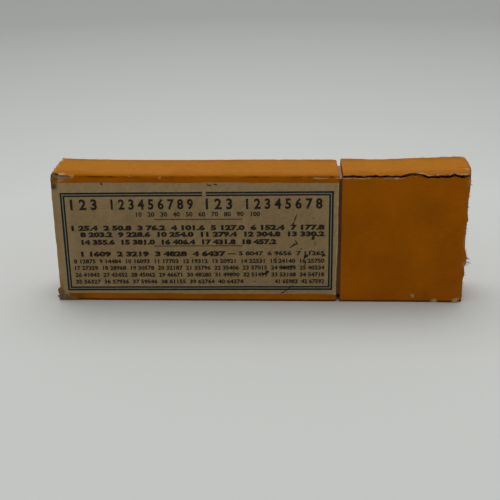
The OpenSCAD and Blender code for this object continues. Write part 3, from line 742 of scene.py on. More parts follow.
def soiled_at(radius):
    """A function of place: painted shade in the crease of the top front edge, along the foot and by the
    seam, and real soiling at the handled corners.
    """
    def value(place):
        # The crease's dark line is painted shade under the top front edge
        crease = 1 - (place - edge_place(place.x, CREASE_UP, radius)[0]).length / CREASE_REACH
        crease *= 0.75 + 0.4 * ripple((place.x, 0, 0), 5, 18)
        # A painted contact shadow along the foot, and painted shade by the seam between cap and body
        foot = 2.0 * (1 - ramp_up(place.z, 0.3, 0.8))
        seam = 0.5 * (1 - ramp_up(abs(place.x - SEAM_X), 0.35, 1.0))
        return max(0.0, crease, foot, seam, spotted(place, BODY_GRIME))
    return value


# Tears along the top front edge: X, and how far up round the rounded edge from where the flat front ends
CAP_TEAR = [
    (22.0, 0.38), (26.4, 0.42), (29.2, 0.36), (32.0, 0.45), (34.8, 0.42), (39.8, 0.39), (40.9, 0.54),
    (42.0, 0.76), (43.4, 0.84), (44.8, 0.8), (45.9, 0.62), (46.8, 0.42), (47.6, 0.21), (49.3, 0.26),
    (50.9, 0.3), (53.7, 0.2), (54.5, 0.4), (55.1, 0.58), (55.9, 0.36), (57.0, 0.3), (58.9, 0.34),
    (62.0, 0.34),
]
BODY_TEAR = [(9.5, 0.3), (13.0, 0.42), (18.0, 0.35), (20.5, 0.44), (24.0, 0.4)]
# The torn lip shows pale below the tear as far as this, and above it from here on
LIP_TURNS_X = 41.2
# The cap's upper lip has peeled away round this X, over this half length, and this far up from the tear
PEEL_X, PEEL_HALF, PEEL_REACH = 43.8, 2.2, 2.2
# Spacing of a blade's stations along an edge, and how deep the cap's tear goes into paper and board, in mm
BLADE_STEP = 0.3
TEAR_DEPTH = 3.2


def tear_height(tear, x):
    """How far up round the edge a tear lies at a place along the box, in mm."""
    for (start, low), (end, high) in zip(tear, tear[1:]):
        if x <= end:
            return low + (high - low) * (x - start) / (end - start)
    return tear[-1][1]


def edge_place(x, height, radius):
    """Place on the rounded top front edge, the direction out of it and the way up round it, in mm."""
    turn = min(max(height / radius, 0), math.pi / 2)
    out = Vector((0, -math.cos(turn), math.sin(turn)))
    upward = Vector((0, math.sin(turn), math.cos(turn)))
    place = Vector((x, radius - BOX_HALF_Y, BOX_TOP - radius)) + out * radius
    return place + upward * (height - turn * radius), out, upward


def blade(name, route, width, inward, deep, seed):
    """A ragged blade that follows places, with the ways out and across at each, and cuts in. All in mm."""
    steps = len(route) - 1
    deselect()
    bpy.ops.mesh.primitive_cube_add(size=1)
    cutter = named(name)
    bisect_grid(cutter, 0, -0.5, 0.5, 1 / steps)
    for vertex in cutter.data.vertices:
        station = round((vertex.co.x + 0.5) * steps)
        place, out, across = route[station]
        side = 1 if vertex.co.y > 0 else -1
        along = station * BLADE_STEP
        half = width / 2 * (1 + 0.45 * ripple((along, side * 3, 0), 1.6, seed))
        # On top it is seen aslant, and stands open wider
        half *= 1 + 0.6 * ramp_up(out.z, 0.55, 0.85)
        drift = 0.08 * ripple((along, 0, 0), 0.8, seed + 1)
        edge = place + across * (side * max(half, 0.04) + drift)
        if vertex.co.z < 0:
            edge += (inward - 0.5 * out).normalized() * deep
        else:
            edge += out * 0.9
        vertex.co = edge * MM
    only(cutter)
    bpy.ops.object.mode_set(mode="EDIT")
    bpy.ops.mesh.select_all(action="SELECT")
    bpy.ops.mesh.normals_make_consistent(inside=False)
    bpy.ops.object.mode_set(mode="OBJECT")
    return cutter


def edge_blade(name, tear, width, deep, sizes):
    """The blade of a tear along the top front edge."""
    start, end = tear[0][0], tear[-1][0]
    steps = round((end - start) / BLADE_STEP)
    xs = [start + (end - start) * i / steps for i in range(steps + 1)]
    route = [edge_place(x, tear_height(tear, x), sizes.edge_radius / MM) for x in xs]
    return blade(name, route, width, inward=Vector((0, 0.95, -0.3)), deep=deep, seed=11)


def corner_blade(name):
    """The blade of the short tear across the cap's top, in from its end."""
    up, across = Vector((0, 0, 1)), Vector((0, 1, 0))
    route = [(Vector((56.6 + 0.35 * i, -2.4 + 0.06 * i, BOX_TOP)), up, across) for i in range(13)]
    return blade(name, route, width=0.16, inward=-up, deep=0.5, seed=17)


def peeling(x):
    """How much the tear's upper lip has come away, at a place along the cap."""
    return math.exp(-((x - PEEL_X) / PEEL_HALF) ** 2)


def off_edge(place):
    """Whether a place, in mm, lies too far from the top front edge for its tears to reach it."""
    return place.y > -5 or place.z < BOX_TOP - 3


def lift_lips(piece, radius):
    """Raise the torn paper's lips a little, and more where the upper one has come away."""
    for vertex in piece.data.vertices:
        place = vertex.co / MM
        if off_edge(place):
            continue
        middle, out, _ = edge_place(place.x, tear_height(CAP_TEAR, place.x), radius)
        away = (place - middle).length
        close = max(0.0, 1 - away)
        raised = close * close * (0.04 + 0.1 * ramp_up(place.x, 50, 57) + 0.08 * ripple(place, 0.9, 13))
        if place.z > middle.z:
            peeled = max(0.0, 1 - away / PEEL_REACH)
            raised += 0.3 * peeled * peeled * peeling(place.x)
        vertex.co += out * raised * MM


def pale_lip(tear, radius, half, below, strength, reach):
    """A function of place: the paper's pale core shows along one side of a tear.

    half is how far the lip lies from the tear's middle, in mm, and below says for an X whether it is the
    lower lip that shows.
    """
    def value(place):
        if off_edge(place):
            return 0.0
        peeled = peeling(place.x)
        side = -half if below(place.x) else half + 0.28 * peeled
        lip = edge_place(place.x, tear_height(tear, place.x) + side, radius)[0]
        uneven = strength * (1 + 0.5 * ripple((place.x, 0, 0), 1.3, 14)) + 0.4 * peeled
        return uneven * max(0.0, 1 - (place - lip).length / (reach + 0.2 * peeled))
    return value


class MAPMEASURER_OT_body_wrap(bpy.types.Operator):
    """Orange paper round the body, torn at its corners"""
    bl_idname = "mapmeasurer.body_wrap"
    bl_label = "Body Wrap"

    def execute(self, context):
        sizes, colours = context.scene.box_sizes, context.scene.box_colours
        radius = sizes.edge_radius / MM
        throat = (NECK_HIGH.y, NECK_LOW.z, NECK_HIGH.z)
        wrap = wrap_shell("body_wrap", BODY_LOW, BODY_HIGH, 1, throat, turn_in=0.4, sizes=sizes)
        tear_patches(wrap, BODY_TEARS, seed=20)
        cut_away(wrap, edge_blade("fine_tear", BODY_TEAR, width=0.16, deep=0.5, sizes=sizes))
        rubs = rubbed_at(BODY_RUBS)
        lip = pale_lip(BODY_TEAR, radius, half=0.28, below=lambda _: True, strength=0.62, reach=0.26)

        def rubbed(place):
            return rubs(place) + lip(place) * ramp_up(place.x, 9, 13)

        paint(wrap, rub=rubbed, fade=faded_at, grime=soiled_at(radius))
        weather(wrap, sizes)
        smooth(wrap, 40)
        paper = dyed_wrap_paper("dyed_wrap_paper_body", colours)
        finish_piece(wrap, "box_body", paper, ["body_paper"])
        return {"FINISHED"}


class MAPMEASURER_OT_cap_wrap(bpy.types.Operator):
    """Orange paper round the pull-off cap, split along its top front edge"""
    bl_idname = "mapmeasurer.cap_wrap"
    bl_label = "Cap Wrap"

    def execute(self, context):
        sizes, colours = context.scene.box_sizes, context.scene.box_colours
        radius = sizes.edge_radius / MM
        clearance = 0.15
        throat = (NECK_HIGH.y + clearance, NECK_LOW.z - clearance, NECK_HIGH.z + clearance)
        wrap = wrap_shell("cap_wrap", CAP_LOW, CAP_HIGH, -1, throat, turn_in=6, sizes=sizes)
        tear_patches(wrap, CAP_TEARS, seed=40)
        cut_away(wrap, edge_blade("edge_tear", CAP_TEAR, sizes.tear / MM, TEAR_DEPTH, sizes))
        cut_away(wrap, corner_blade("corner_tear"))
        rubs = rubbed_at(CAP_RUBS)
        lip = pale_lip(CAP_TEAR, radius, half=sizes.tear / MM / 2 + 0.05,
                       below=lambda x: x < LIP_TURNS_X, strength=0.55, reach=0.34)
        paint(wrap, rub=lambda place: rubs(place) + lip(place), fade=faded_at, grime=soiled_at(radius))
        lift_lips(wrap, radius)
        weather(wrap, sizes)
        smooth(wrap, 40)
        paper = dyed_wrap_paper("dyed_wrap_paper_cap", colours)
        finish_piece(wrap, "cap", paper, ["cap_paper"])
        return {"FINISHED"}


# Corners of the body that are crushed to grey-brown pulp: place, half lengths, in mm
PULP_CORNERS = [
    ((-58.55, -7.2, 37.9), (0.95, 0.85, 1.3)),
    ((-59.2, -7.45, 2.5), (0.95, 0.75, 1.8)),
    ((-58.2, -7.75, 1.1), (1.9, 0.4, 1.0)),
    ((-56.4, -7.85, 0.6), (1.8, 0.3, 0.5)),
    ((-58.6, 7.3, 38.4), (0.7, 0.7, 0.7)),
]
# They end this far above the floor, in mm
PULP_FOOT = 0.04


class MAPMEASURER_OT_boards(bpy.types.Operator):
    """Greyboard of body and cap, the cap's split with its paper, and the lined neck"""
    bl_idname = "mapmeasurer.boards"
    bl_label = "Boards"

    def execute(self, context):
        sizes, colours = context.scene.box_sizes, context.scene.box_colours
        board = grey_chipboard("grey_chipboard", list(colours.board))
        frame["nodes"]["body_board"].data.materials[0] = board
        deselect()
        split = frame["nodes"]["cap_board"].copy()
        split.data = split.data.copy()
        split.name = split.data.name = "split_cap_board"
        for key in list(split.keys()):
            del split[key]
        split.parent = None
        context.scene.collection.objects.link(split)
        only(split)
        bpy.ops.object.mode_set(mode="EDIT")
        bpy.ops.mesh.select_all(action="SELECT")
        bpy.ops.mesh.remove_doubles(threshold=0.001 * MM)
        bpy.ops.object.mode_set(mode="OBJECT")
        for axis, coarse in ((0, 3 * MM), (1, 4 * MM), (2, 6 * MM)):
            bisect_grid(split, axis, CAP_LOW[axis] * MM, CAP_HIGH[axis] * MM, coarse)
        cut_away(split, edge_blade("board_tear", CAP_TEAR, 0.9 * sizes.tear / MM, TEAR_DEPTH, sizes))
        weather(split, sizes)
        smooth(split, 35)
        finish_piece(split, "cap", board, ["cap_board"])
        # The neck's strip in the seam's gap is darkened with painted shade
        lining = grey_chipboard("pink_lining_card", list(colours.neck), spread=0.88, shade_strip_x=SEAM_X)
        frame["nodes"]["neck"].data.materials[0] = lining
        pulp = [ragged_lump("crushed_corners", centre, reach, 80 + seed)
                for seed, (centre, reach) in enumerate(PULP_CORNERS)]
        crushed = joined(pulp, "crushed_corners")
        weather(crushed, sizes)
        for vertex in crushed.data.vertices:
            vertex.co.z = max(vertex.co.z, PULP_FOOT * MM)
        smooth(crushed, 60)
        pulped = grey_chipboard("crushed_board", tone("70593A"), spread=0.12)
        finish_piece(crushed, "box_body", pulped)
        return {"FINISHED"}


# The label's double rule, in mm: left, right, foot and top of each line's middle, and the gap in their tops
OUTER_RULE = (-57.1, 21.1, 3.55, 33.75)
INNER_RULE = (-56.31, 20.31, 4.34, 32.96)
RULE_BREAK = (-16.2, -15.2)
# The ink stands this far off the sheet, in mm
PRINT_LIFT = 0.012
# How much the strokes of heavy and of small type are thickened, for type 1 high
HEAVY, SMALL = 0.066, 0.045
INCH_IN_MM, MILE_IN_M = 25.4, 1609.344
# The sheet was printed a little out of square: rise for each mm across, its middle, and the rise there
PRINT_TILT, PRINT_MIDDLE, PRINT_RISE = 0.0078, -18, 0.24


def browned_at(place):
    """Inside the rules the label has gone browner than at its margin."""
    left, right, foot, top = INNER_RULE
    depth = min(place.x - left, right - place.x, place.z - foot, top - place.z)
    return ramp_up(depth, -1.5, 3)


# Dirty places of the label: place, reach, strength
LABEL_DIRT = [
    ((-59.4, -8, 36.5), 2.4, 0.9), ((-58.8, -8, 35.5), 1.6, 0.5), ((-38.0, -8, 26.0), 5.0, 0.28),
    ((-45.0, -8, 37.0), 0.6, 0.9), ((-14.5, -8, 36.4), 0.5, 0.8), ((-12.6, -8, 36.5), 0.5, 0.8),
    ((-59.4, -8, 3.0), 1.6, 0.8), ((14.0, -8, 8.0), 6.0, 0.2), ((17.0, -8, 20.0), 5.0, 0.15),
]


def label_dirt_at(place):
    """Handling dirt on the label."""
    return spotted((place.x, -BOX_HALF_Y, place.z), LABEL_DIRT)


def label_rust_at(place):
    """The label's left edge is rubbed through to a rust-brown stripe round the box's corner."""
    streak = 0.52 + 0.3 * ripple((0, 0, place.z), 5, 19)
    return streak * (1 - ramp_up(place.x, -58.8, -57.4)) * ramp_up(-place.y, 6.9, 7.5)


def label_rub_at(place):
    """The label's free edges are rubbed pale in small flecks."""
    right = ramp_up(place.x, LABEL_HIGH.x - 1.0, LABEL_HIGH.x - 0.1)
    foot = 1 - ramp_up(place.z, LABEL_LOW.z, LABEL_LOW.z + 0.6)
    return 0.62 * right + 0.3 * foot


class MAPMEASURER_OT_label(bpy.types.Operator):
    """Aged paper label on the front, turned round the left edge"""
    bl_idname = "mapmeasurer.label"
    bl_label = "Label"

    def execute(self, context):
        sizes, colours = context.scene.box_sizes, context.scene.box_colours
        sheet_t = 0.1
        foot, top = LABEL_LOW.z, LABEL_HIGH.z
        # A block with the box's front corner, of which only the front and the end stay
        low = Vector((BODY_LOW.x, -BOX_HALF_Y, foot))
        high = Vector((LABEL_HIGH.x, LABEL_HIGH.y, top))
        sheet = block("paper_label", low, high)
        bpy.ops.object.mode_set(mode="EDIT")
        select_where(sheet, "faces", lambda face: face.normal.y > -0.5 and face.normal.x > -0.5)
        bpy.ops.mesh.delete(type="FACE")
        select_where(sheet, "edges", lambda edge: len(edge.link_faces) == 2)
        bpy.ops.mesh.bevel(offset=sizes.edge_radius, segments=5, affect="EDGES")
        bpy.ops.object.mode_set(mode="OBJECT")
        step = sizes.grid * 0.75
        bisect_grid(sheet, 0, low.x * MM, high.x * MM, step)
        bisect_grid(sheet, 2, foot * MM, top * MM, step)
        self.ragged_edges(sheet, foot, top)
        apply_modifier(sheet, "thickness", "SOLIDIFY", thickness=sheet_t * MM, offset=1)
        paint(sheet, browned=browned_at, grime=label_dirt_at, rust=label_rust_at, rub=label_rub_at)
        weather(sheet, sizes)
        smooth(sheet, 40)
        finish_piece(sheet, "box_body", aged_label_stock(colours), ["label"])
        return {"FINISHED"}

    @staticmethod
    def ragged_edges(sheet, foot, top):
        """The shears and the thumb left the label's edges slightly uneven."""
        for vertex in sheet.data.vertices:
            place = vertex.co / MM
            if place.z > top - 0.01 or place.z < foot + 0.01:
                lower = 0.16 if place.z < BOX_TOP / 2 else 0
                vertex.co.z += (0.1 * ripple(place, 7, 15) + 0.06 * ripple(place, 1.5, 16) - lower) * MM
            if place.x > LABEL_HIGH.x - 0.01:
                vertex.co.x += (-0.16 + 0.14 * ripple(place, 1.6, 17)) * MM


def on_label(piece):
    """Stand a flat mesh, drawn as X across and Y up in mm, on the label's front."""
    front = LABEL_LOW.y - PRINT_LIFT
    for vertex in piece.data.vertices:
        rise = PRINT_RISE + PRINT_TILT * (vertex.co.x - PRINT_MIDDLE)
        vertex.co = Vector((vertex.co.x, front, vertex.co.y + rise)) * MM


def printed_line(text, left, right, foot, top, weight):
    """A line of plain numbers as a flat mesh, in mm, that fills its place; weight thickens its strokes."""
    deselect()
    bpy.ops.object.text_add()
    words = bpy.context.object
    words.data.body = text
    words.data.resolution_u = 2
    words.data.offset = weight
    bpy.ops.object.convert(target="MESH")
    words = bpy.context.object
    xs = [v.co.x for v in words.data.vertices]
    ys = [v.co.y for v in words.data.vertices]
    for vertex in words.data.vertices:
        vertex.co.x = left + (vertex.co.x - min(xs)) * (right - left) / (max(xs) - min(xs))
        vertex.co.y = foot + (vertex.co.y - min(ys)) * (top - foot) / (max(ys) - min(ys))
    return words


# Ink bars have vertices this far apart, to follow the label, and their edges stray by this much, in mm
BAR_STEP, BAR_STRAY = 0.8, 0.025


def printed_bar(left, right, foot, top):
    """A straight bar of ink as a flat mesh in mm."""
    deselect()
    across, up = right - left, top - foot
    columns, rows = [max(1, round(side / BAR_STEP)) for side in (across, up)]
    bpy.ops.mesh.primitive_grid_add(x_subdivisions=columns, y_subdivisions=rows, size=1)
    bar = bpy.context.object
    bar.scale = (across, up, 1)
    bar.location = ((left + right) / 2, (foot + top) / 2, 0)
    bpy.ops.object.transform_apply(location=True, rotation=True, scale=True)
    for vertex in bar.data.vertices:
        wobble = BAR_STRAY * ripple((vertex.co.x, vertex.co.y, 0), 1.2, 31)
        vertex.co.x += wobble
        vertex.co.y += wobble
    return bar


def joined(pieces, name):
    """Join several meshes into one and name it."""
    deselect()
    for piece in pieces:
        piece.select_set(True)
    bpy.context.view_layer.objects.active = pieces[0]
    bpy.ops.object.join()
    return named(name)


def conversion_row(first, count, factor, form):
    """Plain numbers of a conversion table: each whole number, then what it makes in the other unit."""
    return "  ".join(f"{n} {n * factor:{form}}" for n in range(first, first + count))


def ruled_frame(place, weight):
    """The bars of a rectangular rule, the top one in two with a break between them."""
    left, right, foot, top = place
    half = weight / 2
    return [
        printed_bar(left - half, right + half, foot - half, foot + half),
        printed_bar(left - half, left + half, foot, top),
        printed_bar(right - half, right + half, foot, top),
        printed_bar(left - half, RULE_BREAK[0], top - half, top + half),
        printed_bar(RULE_BREAK[1], right + half, top - half, top + half),
    ]


def ink_blot(x, z, long, wide, angle, seed):
    """A spilt or dragged spot of ink with a ragged outline, as a flat mesh in mm."""
    deselect()
    bpy.ops.mesh.primitive_circle_add(vertices=18, radius=1, fill_type="NGON")
    blot = bpy.context.object
    for vertex in blot.data.vertices:
        ragged = 1 + 0.45 * ripple(vertex.co, 0.7, seed)
        vertex.co = Vector((vertex.co.x * long / 2 * ragged, vertex.co.y * wide / 2 * ragged, 0))
    blot.data.transform(Matrix.Translation((x, z, 0)) @ Matrix.Rotation(math.radians(angle), 4, "Z"))
    return blot


# Ink spots on the label: across, up, length, width, tilt in degrees
BLOTS = [
    (10.4, 25.7, 2.6, 0.35, 72), (9.8, 24.1, 0.9, 0.5, 60), (15.6, 19.7, 1.3, 0.9, 40),
    (15.7, 25.9, 0.5, 0.4, 0), (9.9, 17.5, 2.2, 0.5, 40), (10.8, 18.3, 1.6, 0.35, 115),
    (13.6, 14.1, 1.6, 0.9, 30), (13.4, 11.9, 2.2, 0.3, 78), (8.6, 10.8, 3.6, 0.7, 10),
    (6.6, 10.4, 2.4, 0.4, -12), (2.1, 9.1, 1.5, 0.9, 35), (1.2, 8.5, 0.9, 0.5, 0),
    (4.9, 12.8, 1.9, 0.35, 100), (18.7, 14.3, 1.4, 0.8, 20), (8.2, 3.5, 3.4, 0.35, 38),
    (6.9, 2.5, 1.4, 0.3, 20), (-1.5, 6.1, 0.45, 0.4, 0), (16.0, 17.7, 0.9, 0.25, 65),
    (12.2, 16.4, 0.6, 0.3, 30), (15.0, 15.7, 1.5, 0.22, 60), (-14.0, 36.0, 1.4, 0.3, 8),
    (-12.3, 36.2, 0.9, 0.35, -10), (-45.0, 36.6, 0.7, 0.45, 0),
]


class MAPMEASURER_OT_label_print(bpy.types.Operator):
    """Plain rules and rows of plain numbers on the label, with old ink spots"""
    bl_idname = "mapmeasurer.label_print"
    bl_label = "Label Print"

    def execute(self, context):
        sizes, colours = context.scene.box_sizes, context.scene.box_colours
        pieces = ruled_frame(OUTER_RULE, weight=0.54) + ruled_frame(INNER_RULE, weight=0.5)
        # The heading: four spaced groups that count up
        for count, left, right in ((3, -54.6, -46.8), (9, -42.8, -18.9), (3, -15.3, -7.6), (8, -3.7, 18.2)):
            text = " ".join(str(n) for n in range(1, count + 1))
            pieces.append(printed_line(text, left, right, foot=28.65, top=32.05, weight=0.036))
        tens = "   ".join(str(n) for n in range(10, 101, 10))
        pieces.append(printed_line(tens, -35.6, 0.3, foot=26.5, top=28.03, weight=0.034))
        pieces.append(printed_bar(-30.4, -4.7, 25.57, 25.82))
        pieces.append(printed_bar(-30.8, -4.8, 17.32, 17.56))
        # Three heavy lines turn inches to millimetres
        for first, count, middle, left, right in (
                (1, 7, 23.12, -54.8, 18.9), (8, 6, 21.07, -52.4, 18.9), (14, 5, 18.69, -52.2, 5.0)):
            text = conversion_row(first, count, INCH_IN_MM, ".1f")
            pieces.append(printed_line(text, left, right, middle - 0.88, middle + 0.88, HEAVY))
        # Five lines of small type turn miles to metres, and the first opens heavier
        text = conversion_row(1, 4, MILE_IN_M, ".0f")
        pieces.append(printed_line(text, -52.6, -9.8, foot=14.07, top=15.87, weight=HEAVY))
        pieces.append(printed_bar(-9.2, -7.0, 14.75, 15.1))
        small = (
            (5, 3, 15.05, -6.0, 19.0), (8, 9, 12.65, -54.9, 19.0), (17, 9, 10.53, -54.8, 19.0),
            (26, 9, 8.32, -54.8, 19.0), (35, 6, 6.12, -54.8, -4.8), (41, 2, 6.12, 4.4, 19.0),
        )
        for first, count, middle, left, right in small:
            text = conversion_row(first, count, MILE_IN_M, ".0f")
            pieces.append(printed_line(text, left, right, middle - 0.72, middle + 0.72, SMALL))
        for seed, blot in enumerate(BLOTS):
            pieces.append(ink_blot(*blot, 60 + seed))
        ink = joined(pieces, "label_print")
        on_label(ink)
        weather(ink, sizes)
        worn = [c * 0.55 for c in colours.label_brown]
        finish_piece(ink, "box_body", letterpress_ink("letterpress_ink", list(colours.ink), worn))
        # A pale blue-grey tint fills the channel of the double rule
        middle = [(a + b) / 2 for a, b in zip(OUTER_RULE, INNER_RULE)]
        tint = joined(ruled_frame(middle, weight=0.36), "rule_tint")
        on_label(tint)
        for vertex in tint.data.vertices:
            vertex.co.y += 0.5 * PRINT_LIFT * MM
        weather(tint, sizes)
        grey = letterpress_ink("blue_grey_tint", tone("737770"), tone("736C5A"))
        finish_piece(tint, "box_body", grey)
        return {"FINISHED"}


def strand():
    """One torn paper fibre, 1 wide and 1 long: a thin tapering splinter of three sides."""
    deselect()
    bpy.ops.mesh.primitive_cone_add(vertices=3, radius1=0.5, radius2=0.12, depth=1)
    splinter = bpy.context.object
    bpy.ops.object.mode_set(mode="EDIT")
    for share in (-0.2, 0.15):
        bpy.ops.mesh.select_all(action="SELECT")
        bpy.ops.mesh.bisect(plane_co=(0, 0, share), plane_no=(0, 0, 1))
    bpy.ops.object.mode_set(mode="OBJECT")
    return splinter


# Torn edges that carry loose fibres: start, end, outward direction, how many of each hundred, length
FRAYED_EDGES = [
    ((59.4, -7.4, 1.5), (59.4, -7.4, 37.5), (1, 0, 0), 50, 0.8),
    ((59.4, -7.4, 11.5), (59.4, -7.4, 15.5), (1, 0, 0.1), 8, 1.7),
    ((59.15, -7.2, 38.95), (59.15, 7.2, 38.95), (0.8, 0, 0.8), 14, 0.6),
    ((45.0, 7.7, 38.95), (58.6, 7.7, 38.95), (0.1, 0.3, 0.9), 12, 0.9),
    ((43.0, -7.4, 39.1), (47.0, -7.4, 39.1), (0, -0.4, 1), 10, 0.45),
    ((47.5, -7.8, 38.6), (59.0, -7.8, 38.6), (0, -1, 0.3), 10, 0.35),
    ((24.0, -7.8, 38.6), (43.0, -7.8, 38.6), (0, -1, 0.2), 6, 0.25),
    ((-59.3, -7.6, 37.0), (-58.4, -7.6, 38.8), (-0.8, -0.5, 0.5), 6, 0.4),
    ((-59.2, -7.7, 0.6), (-58.2, -7.7, 1.8), (-0.8, -0.6, 0.2), 5, 0.5),
    ((-59.2, -6.0, 38.95), (-59.2, 7.2, 38.95), (-0.8, 0.2, 0.7), 9, 0.4),
]
# No fibre reaches further out than this, or lower than its foot, in mm
FIBRE_REACH_Y = 8.22
FIBRE_REACH_Z = 40.3
FIBRE_FOOT = 0.05
# Their widths in mm and their lengths as shares of the longest
FIBRE_WIDTHS, FIBRE_SHARES = (0.12, 0.32), (0.35, 1.0)
# How far they lean from the paper's way and curl, and how deep in mm they root
FIBRE_LEAN, FIBRE_CURL, FIBRE_ROOT = 0.8, 0.25, 0.15
FIBRE_SEED = 77


class MAPMEASURER_OT_torn_fibres(bpy.types.Operator):
    """Loose fibres along the torn paper edges"""
    bl_idname = "mapmeasurer.torn_fibres"
    bl_label = "Torn Fibres"

    def execute(self, context):
        sizes = context.scene.box_sizes
        rng = random.Random(FIBRE_SEED)
        model = strand()
        shapes = {"cap": [], "box_body": []}
        for start, end, out, share, longest in FRAYED_EDGES:
            start, end, out = Vector(start), Vector(end), Vector(out).normalized()
            for _ in range(round(sizes.fibres * share / 100)):
                root = start.lerp(end, rng.random())
                lean = Vector([rng.uniform(-FIBRE_LEAN, FIBRE_LEAN) for _ in range(3)])
                way = (out + lean).normalized()
                long = longest * rng.uniform(*FIBRE_SHARES)
                fibre = model.copy()
                fibre.data = model.data.copy()
                context.scene.collection.objects.link(fibre)
                turn = way.to_track_quat("Z", "X").to_matrix().to_4x4()
                width = rng.uniform(*FIBRE_WIDTHS)
                fibre.data.transform(Matrix.Diagonal((width, width * 0.5, long, 1)))
                fibre.data.transform(turn)
                root = weathered(root, sizes) - way * FIBRE_ROOT
                curl = Vector([rng.uniform(-FIBRE_CURL, FIBRE_CURL) for _ in range(3)])
                for vertex in fibre.data.vertices:
                    height = vertex.co.dot(way) / long + 0.5
                    bent = vertex.co + root + way * long / 2 + curl * height * height
                    bent.y = min(max(bent.y, -FIBRE_REACH_Y), FIBRE_REACH_Y)
                    bent.z = min(max(bent.z, FIBRE_FOOT), FIBRE_REACH_Z)
                    vertex.co = bent * MM
                shapes["cap" if start.x > CAP_LOW.x - 1 else "box_body"].append(fibre)
        bpy.data.objects.remove(model)
        pulp = grey_chipboard("torn_paper_fibre", tone("745428"), spread=0.5)
        for body, fibres in shapes.items():
            if fibres:
                tuft = joined(fibres, "torn_fibres_" + body)
                finish_piece(tuft, body, pulp)
        return {"FINISHED"}


def dial_place(angle, radius, depth):
    """Place on the dial at a clockwise angle from its top, which faces the handle, in mm."""
    turn = math.radians(angle)
    return Vector((DIAL_MID.x + radius * math.cos(turn), depth, DIAL_MID.z - radius * math.sin(turn)))


def stand_on_dial(piece, angle, radius, depth):
    """Turn a flat mesh, drawn in mm about its own middle, outward on the dial."""
    turn = math.radians(angle)
    outward = Vector((math.cos(turn), 0, -math.sin(turn)))
    across = Vector((-math.sin(turn), 0, -math.cos(turn)))
    centre = dial_place(angle, radius, depth)
    for vertex in piece.data.vertices:
        vertex.co = (centre + across * vertex.co.x + outward * vertex.co.y) * MM


def dial_mark(angle, inner, outer, width, depth):
    """One straight tick of the dial."""
    deselect()
    bpy.ops.mesh.primitive_plane_add(size=1)
    tick = bpy.context.object
    tick.scale = (width, outer - inner, 1)
    bpy.ops.object.transform_apply(location=True, rotation=True, scale=True)
    stand_on_dial(tick, angle, (inner + outer) / 2, depth)
    return tick


def dial_ring(radius, width, depth):
    """One printed circle of the dial."""
    deselect()
    bpy.ops.mesh.primitive_circle_add(vertices=144, radius=radius - width / 2, fill_type="NOTHING")
    ring = bpy.context.object
    bpy.ops.object.mode_set(mode="EDIT")
    bpy.ops.mesh.select_all(action="SELECT")
    bpy.ops.mesh.extrude_edges_move()
    grow = (radius + width / 2) / (radius - width / 2)
    bpy.ops.transform.resize(value=(grow, grow, 1), center_override=(0, 0, 0))
    bpy.ops.object.mode_set(mode="OBJECT")
    stand_on_dial(ring, 0, 0, depth)
    return ring


def dial_number(number, angle, radius, height, depth):
    """One plain number on the dial, its head outwards."""
    wide = height * (0.62 if number < 10 else 1.25 if number < 100 else 1.85)
    figure = printed_line(str(number), -wide / 2, wide / 2, -height / 2, height / 2, 0.015)
    stand_on_dial(figure, angle, radius, depth)
    return figure


# The needle turns once for 1000 mm of map: degrees for each centimetre, and inches in one turn
CM_TURN = 3.6
TURN_INCHES = 39.37


class MAPMEASURER_OT_dial_print(bpy.types.Operator):
    """Centimetre circle and inch circle printed on the dial"""
    bl_idname = "mapmeasurer.dial_print"
    bl_label = "Dial Print"

    def execute(self, context):
        depth = DIAL_LOW.y - 0.02
        outer, inner = 13.4, 8.6
        black = [dial_ring(outer, 0.1, depth), dial_ring(outer - 0.9, 0.06, depth)]
        for cm in range(100):
            long = 1.5 if cm % 10 == 0 else 1.2 if cm % 5 == 0 else 0.9
            width = 0.13 if cm % 5 == 0 else 0.08
            black.append(dial_mark(cm * CM_TURN, outer - long, outer, width, depth))
        for cm in range(10, 101, 10):
            black.append(dial_number(cm, cm * CM_TURN, outer - 2.45, 1.5, depth))
        red = [dial_ring(inner, 0.1, depth)]
        for inch in range(40):
            long = 1.0 if inch % 3 == 0 else 0.65
            red.append(dial_mark(inch * 360 / TURN_INCHES, inner - long, inner, 0.1, depth))
        for inch in range(3, 40, 3):
            red.append(dial_number(inch, inch * 360 / TURN_INCHES, inner - 1.75, 1.05, depth))
        for print_of, name, ink_name, full, worn in (
                (black, "centimetre_circle", "dial_ink", "1B1A18", "3A3832"),
                (red, "inch_circle", "dial_red_ink", "7E1F14", "9A4A36")):
            ink = letterpress_ink(ink_name, tone(full), tone(worn))
            finish_piece(joined(print_of, name), "instrument", ink)
        return {"FINISHED"}


class MAPMEASURER_OT_metalwork(bpy.types.Operator):
    """Finishes of the case, movement, glass and handle"""
    bl_idname = "mapmeasurer.metalwork"
    bl_label = "Metalwork"

    def execute(self, context):
        finishes = {
            "nickel_plate": aged_metal("nickel_plated_brass", tone("C9C4B8"), tone("8E8470"), 0.24),
            "train_brass": aged_metal("rolled_clock_brass", tone("D2B368"), tone("9C7B3A"), 0.28),
            "blued_steel": aged_metal("blued_spring_steel", tone("1E2C52"), tone("141A2E"), 0.25),
            "bright_steel": aged_metal("turned_bright_steel", tone("B9B8B4"), tone("7E7B74"), 0.26),
            "dial_face": enamelled_dial(),
            "watch_glass": watch_glass(),
            "ebonised_wood": ebonised_wood(),
        }
        for part in frame["record"]["subparts"]:
            finish = finishes.get(part["material_slot"])
            if finish:
                frame["nodes"][part["node"]].data.materials[0] = finish
        return {"FINISHED"}


# Camera: focal length in pixels of the picture, place in mm, its turn, tilt and roll in radians, and the
# width of its sensor in mm
FOCAL_PIXELS = 976.28
CAMERA_PLACE = (10.83, -272.02, 122.61)
CAMERA_YAW = -0.0513844
CAMERA_TILT = 0.3819935
CAMERA_ROLL = -0.0152944
SENSOR = 36.0
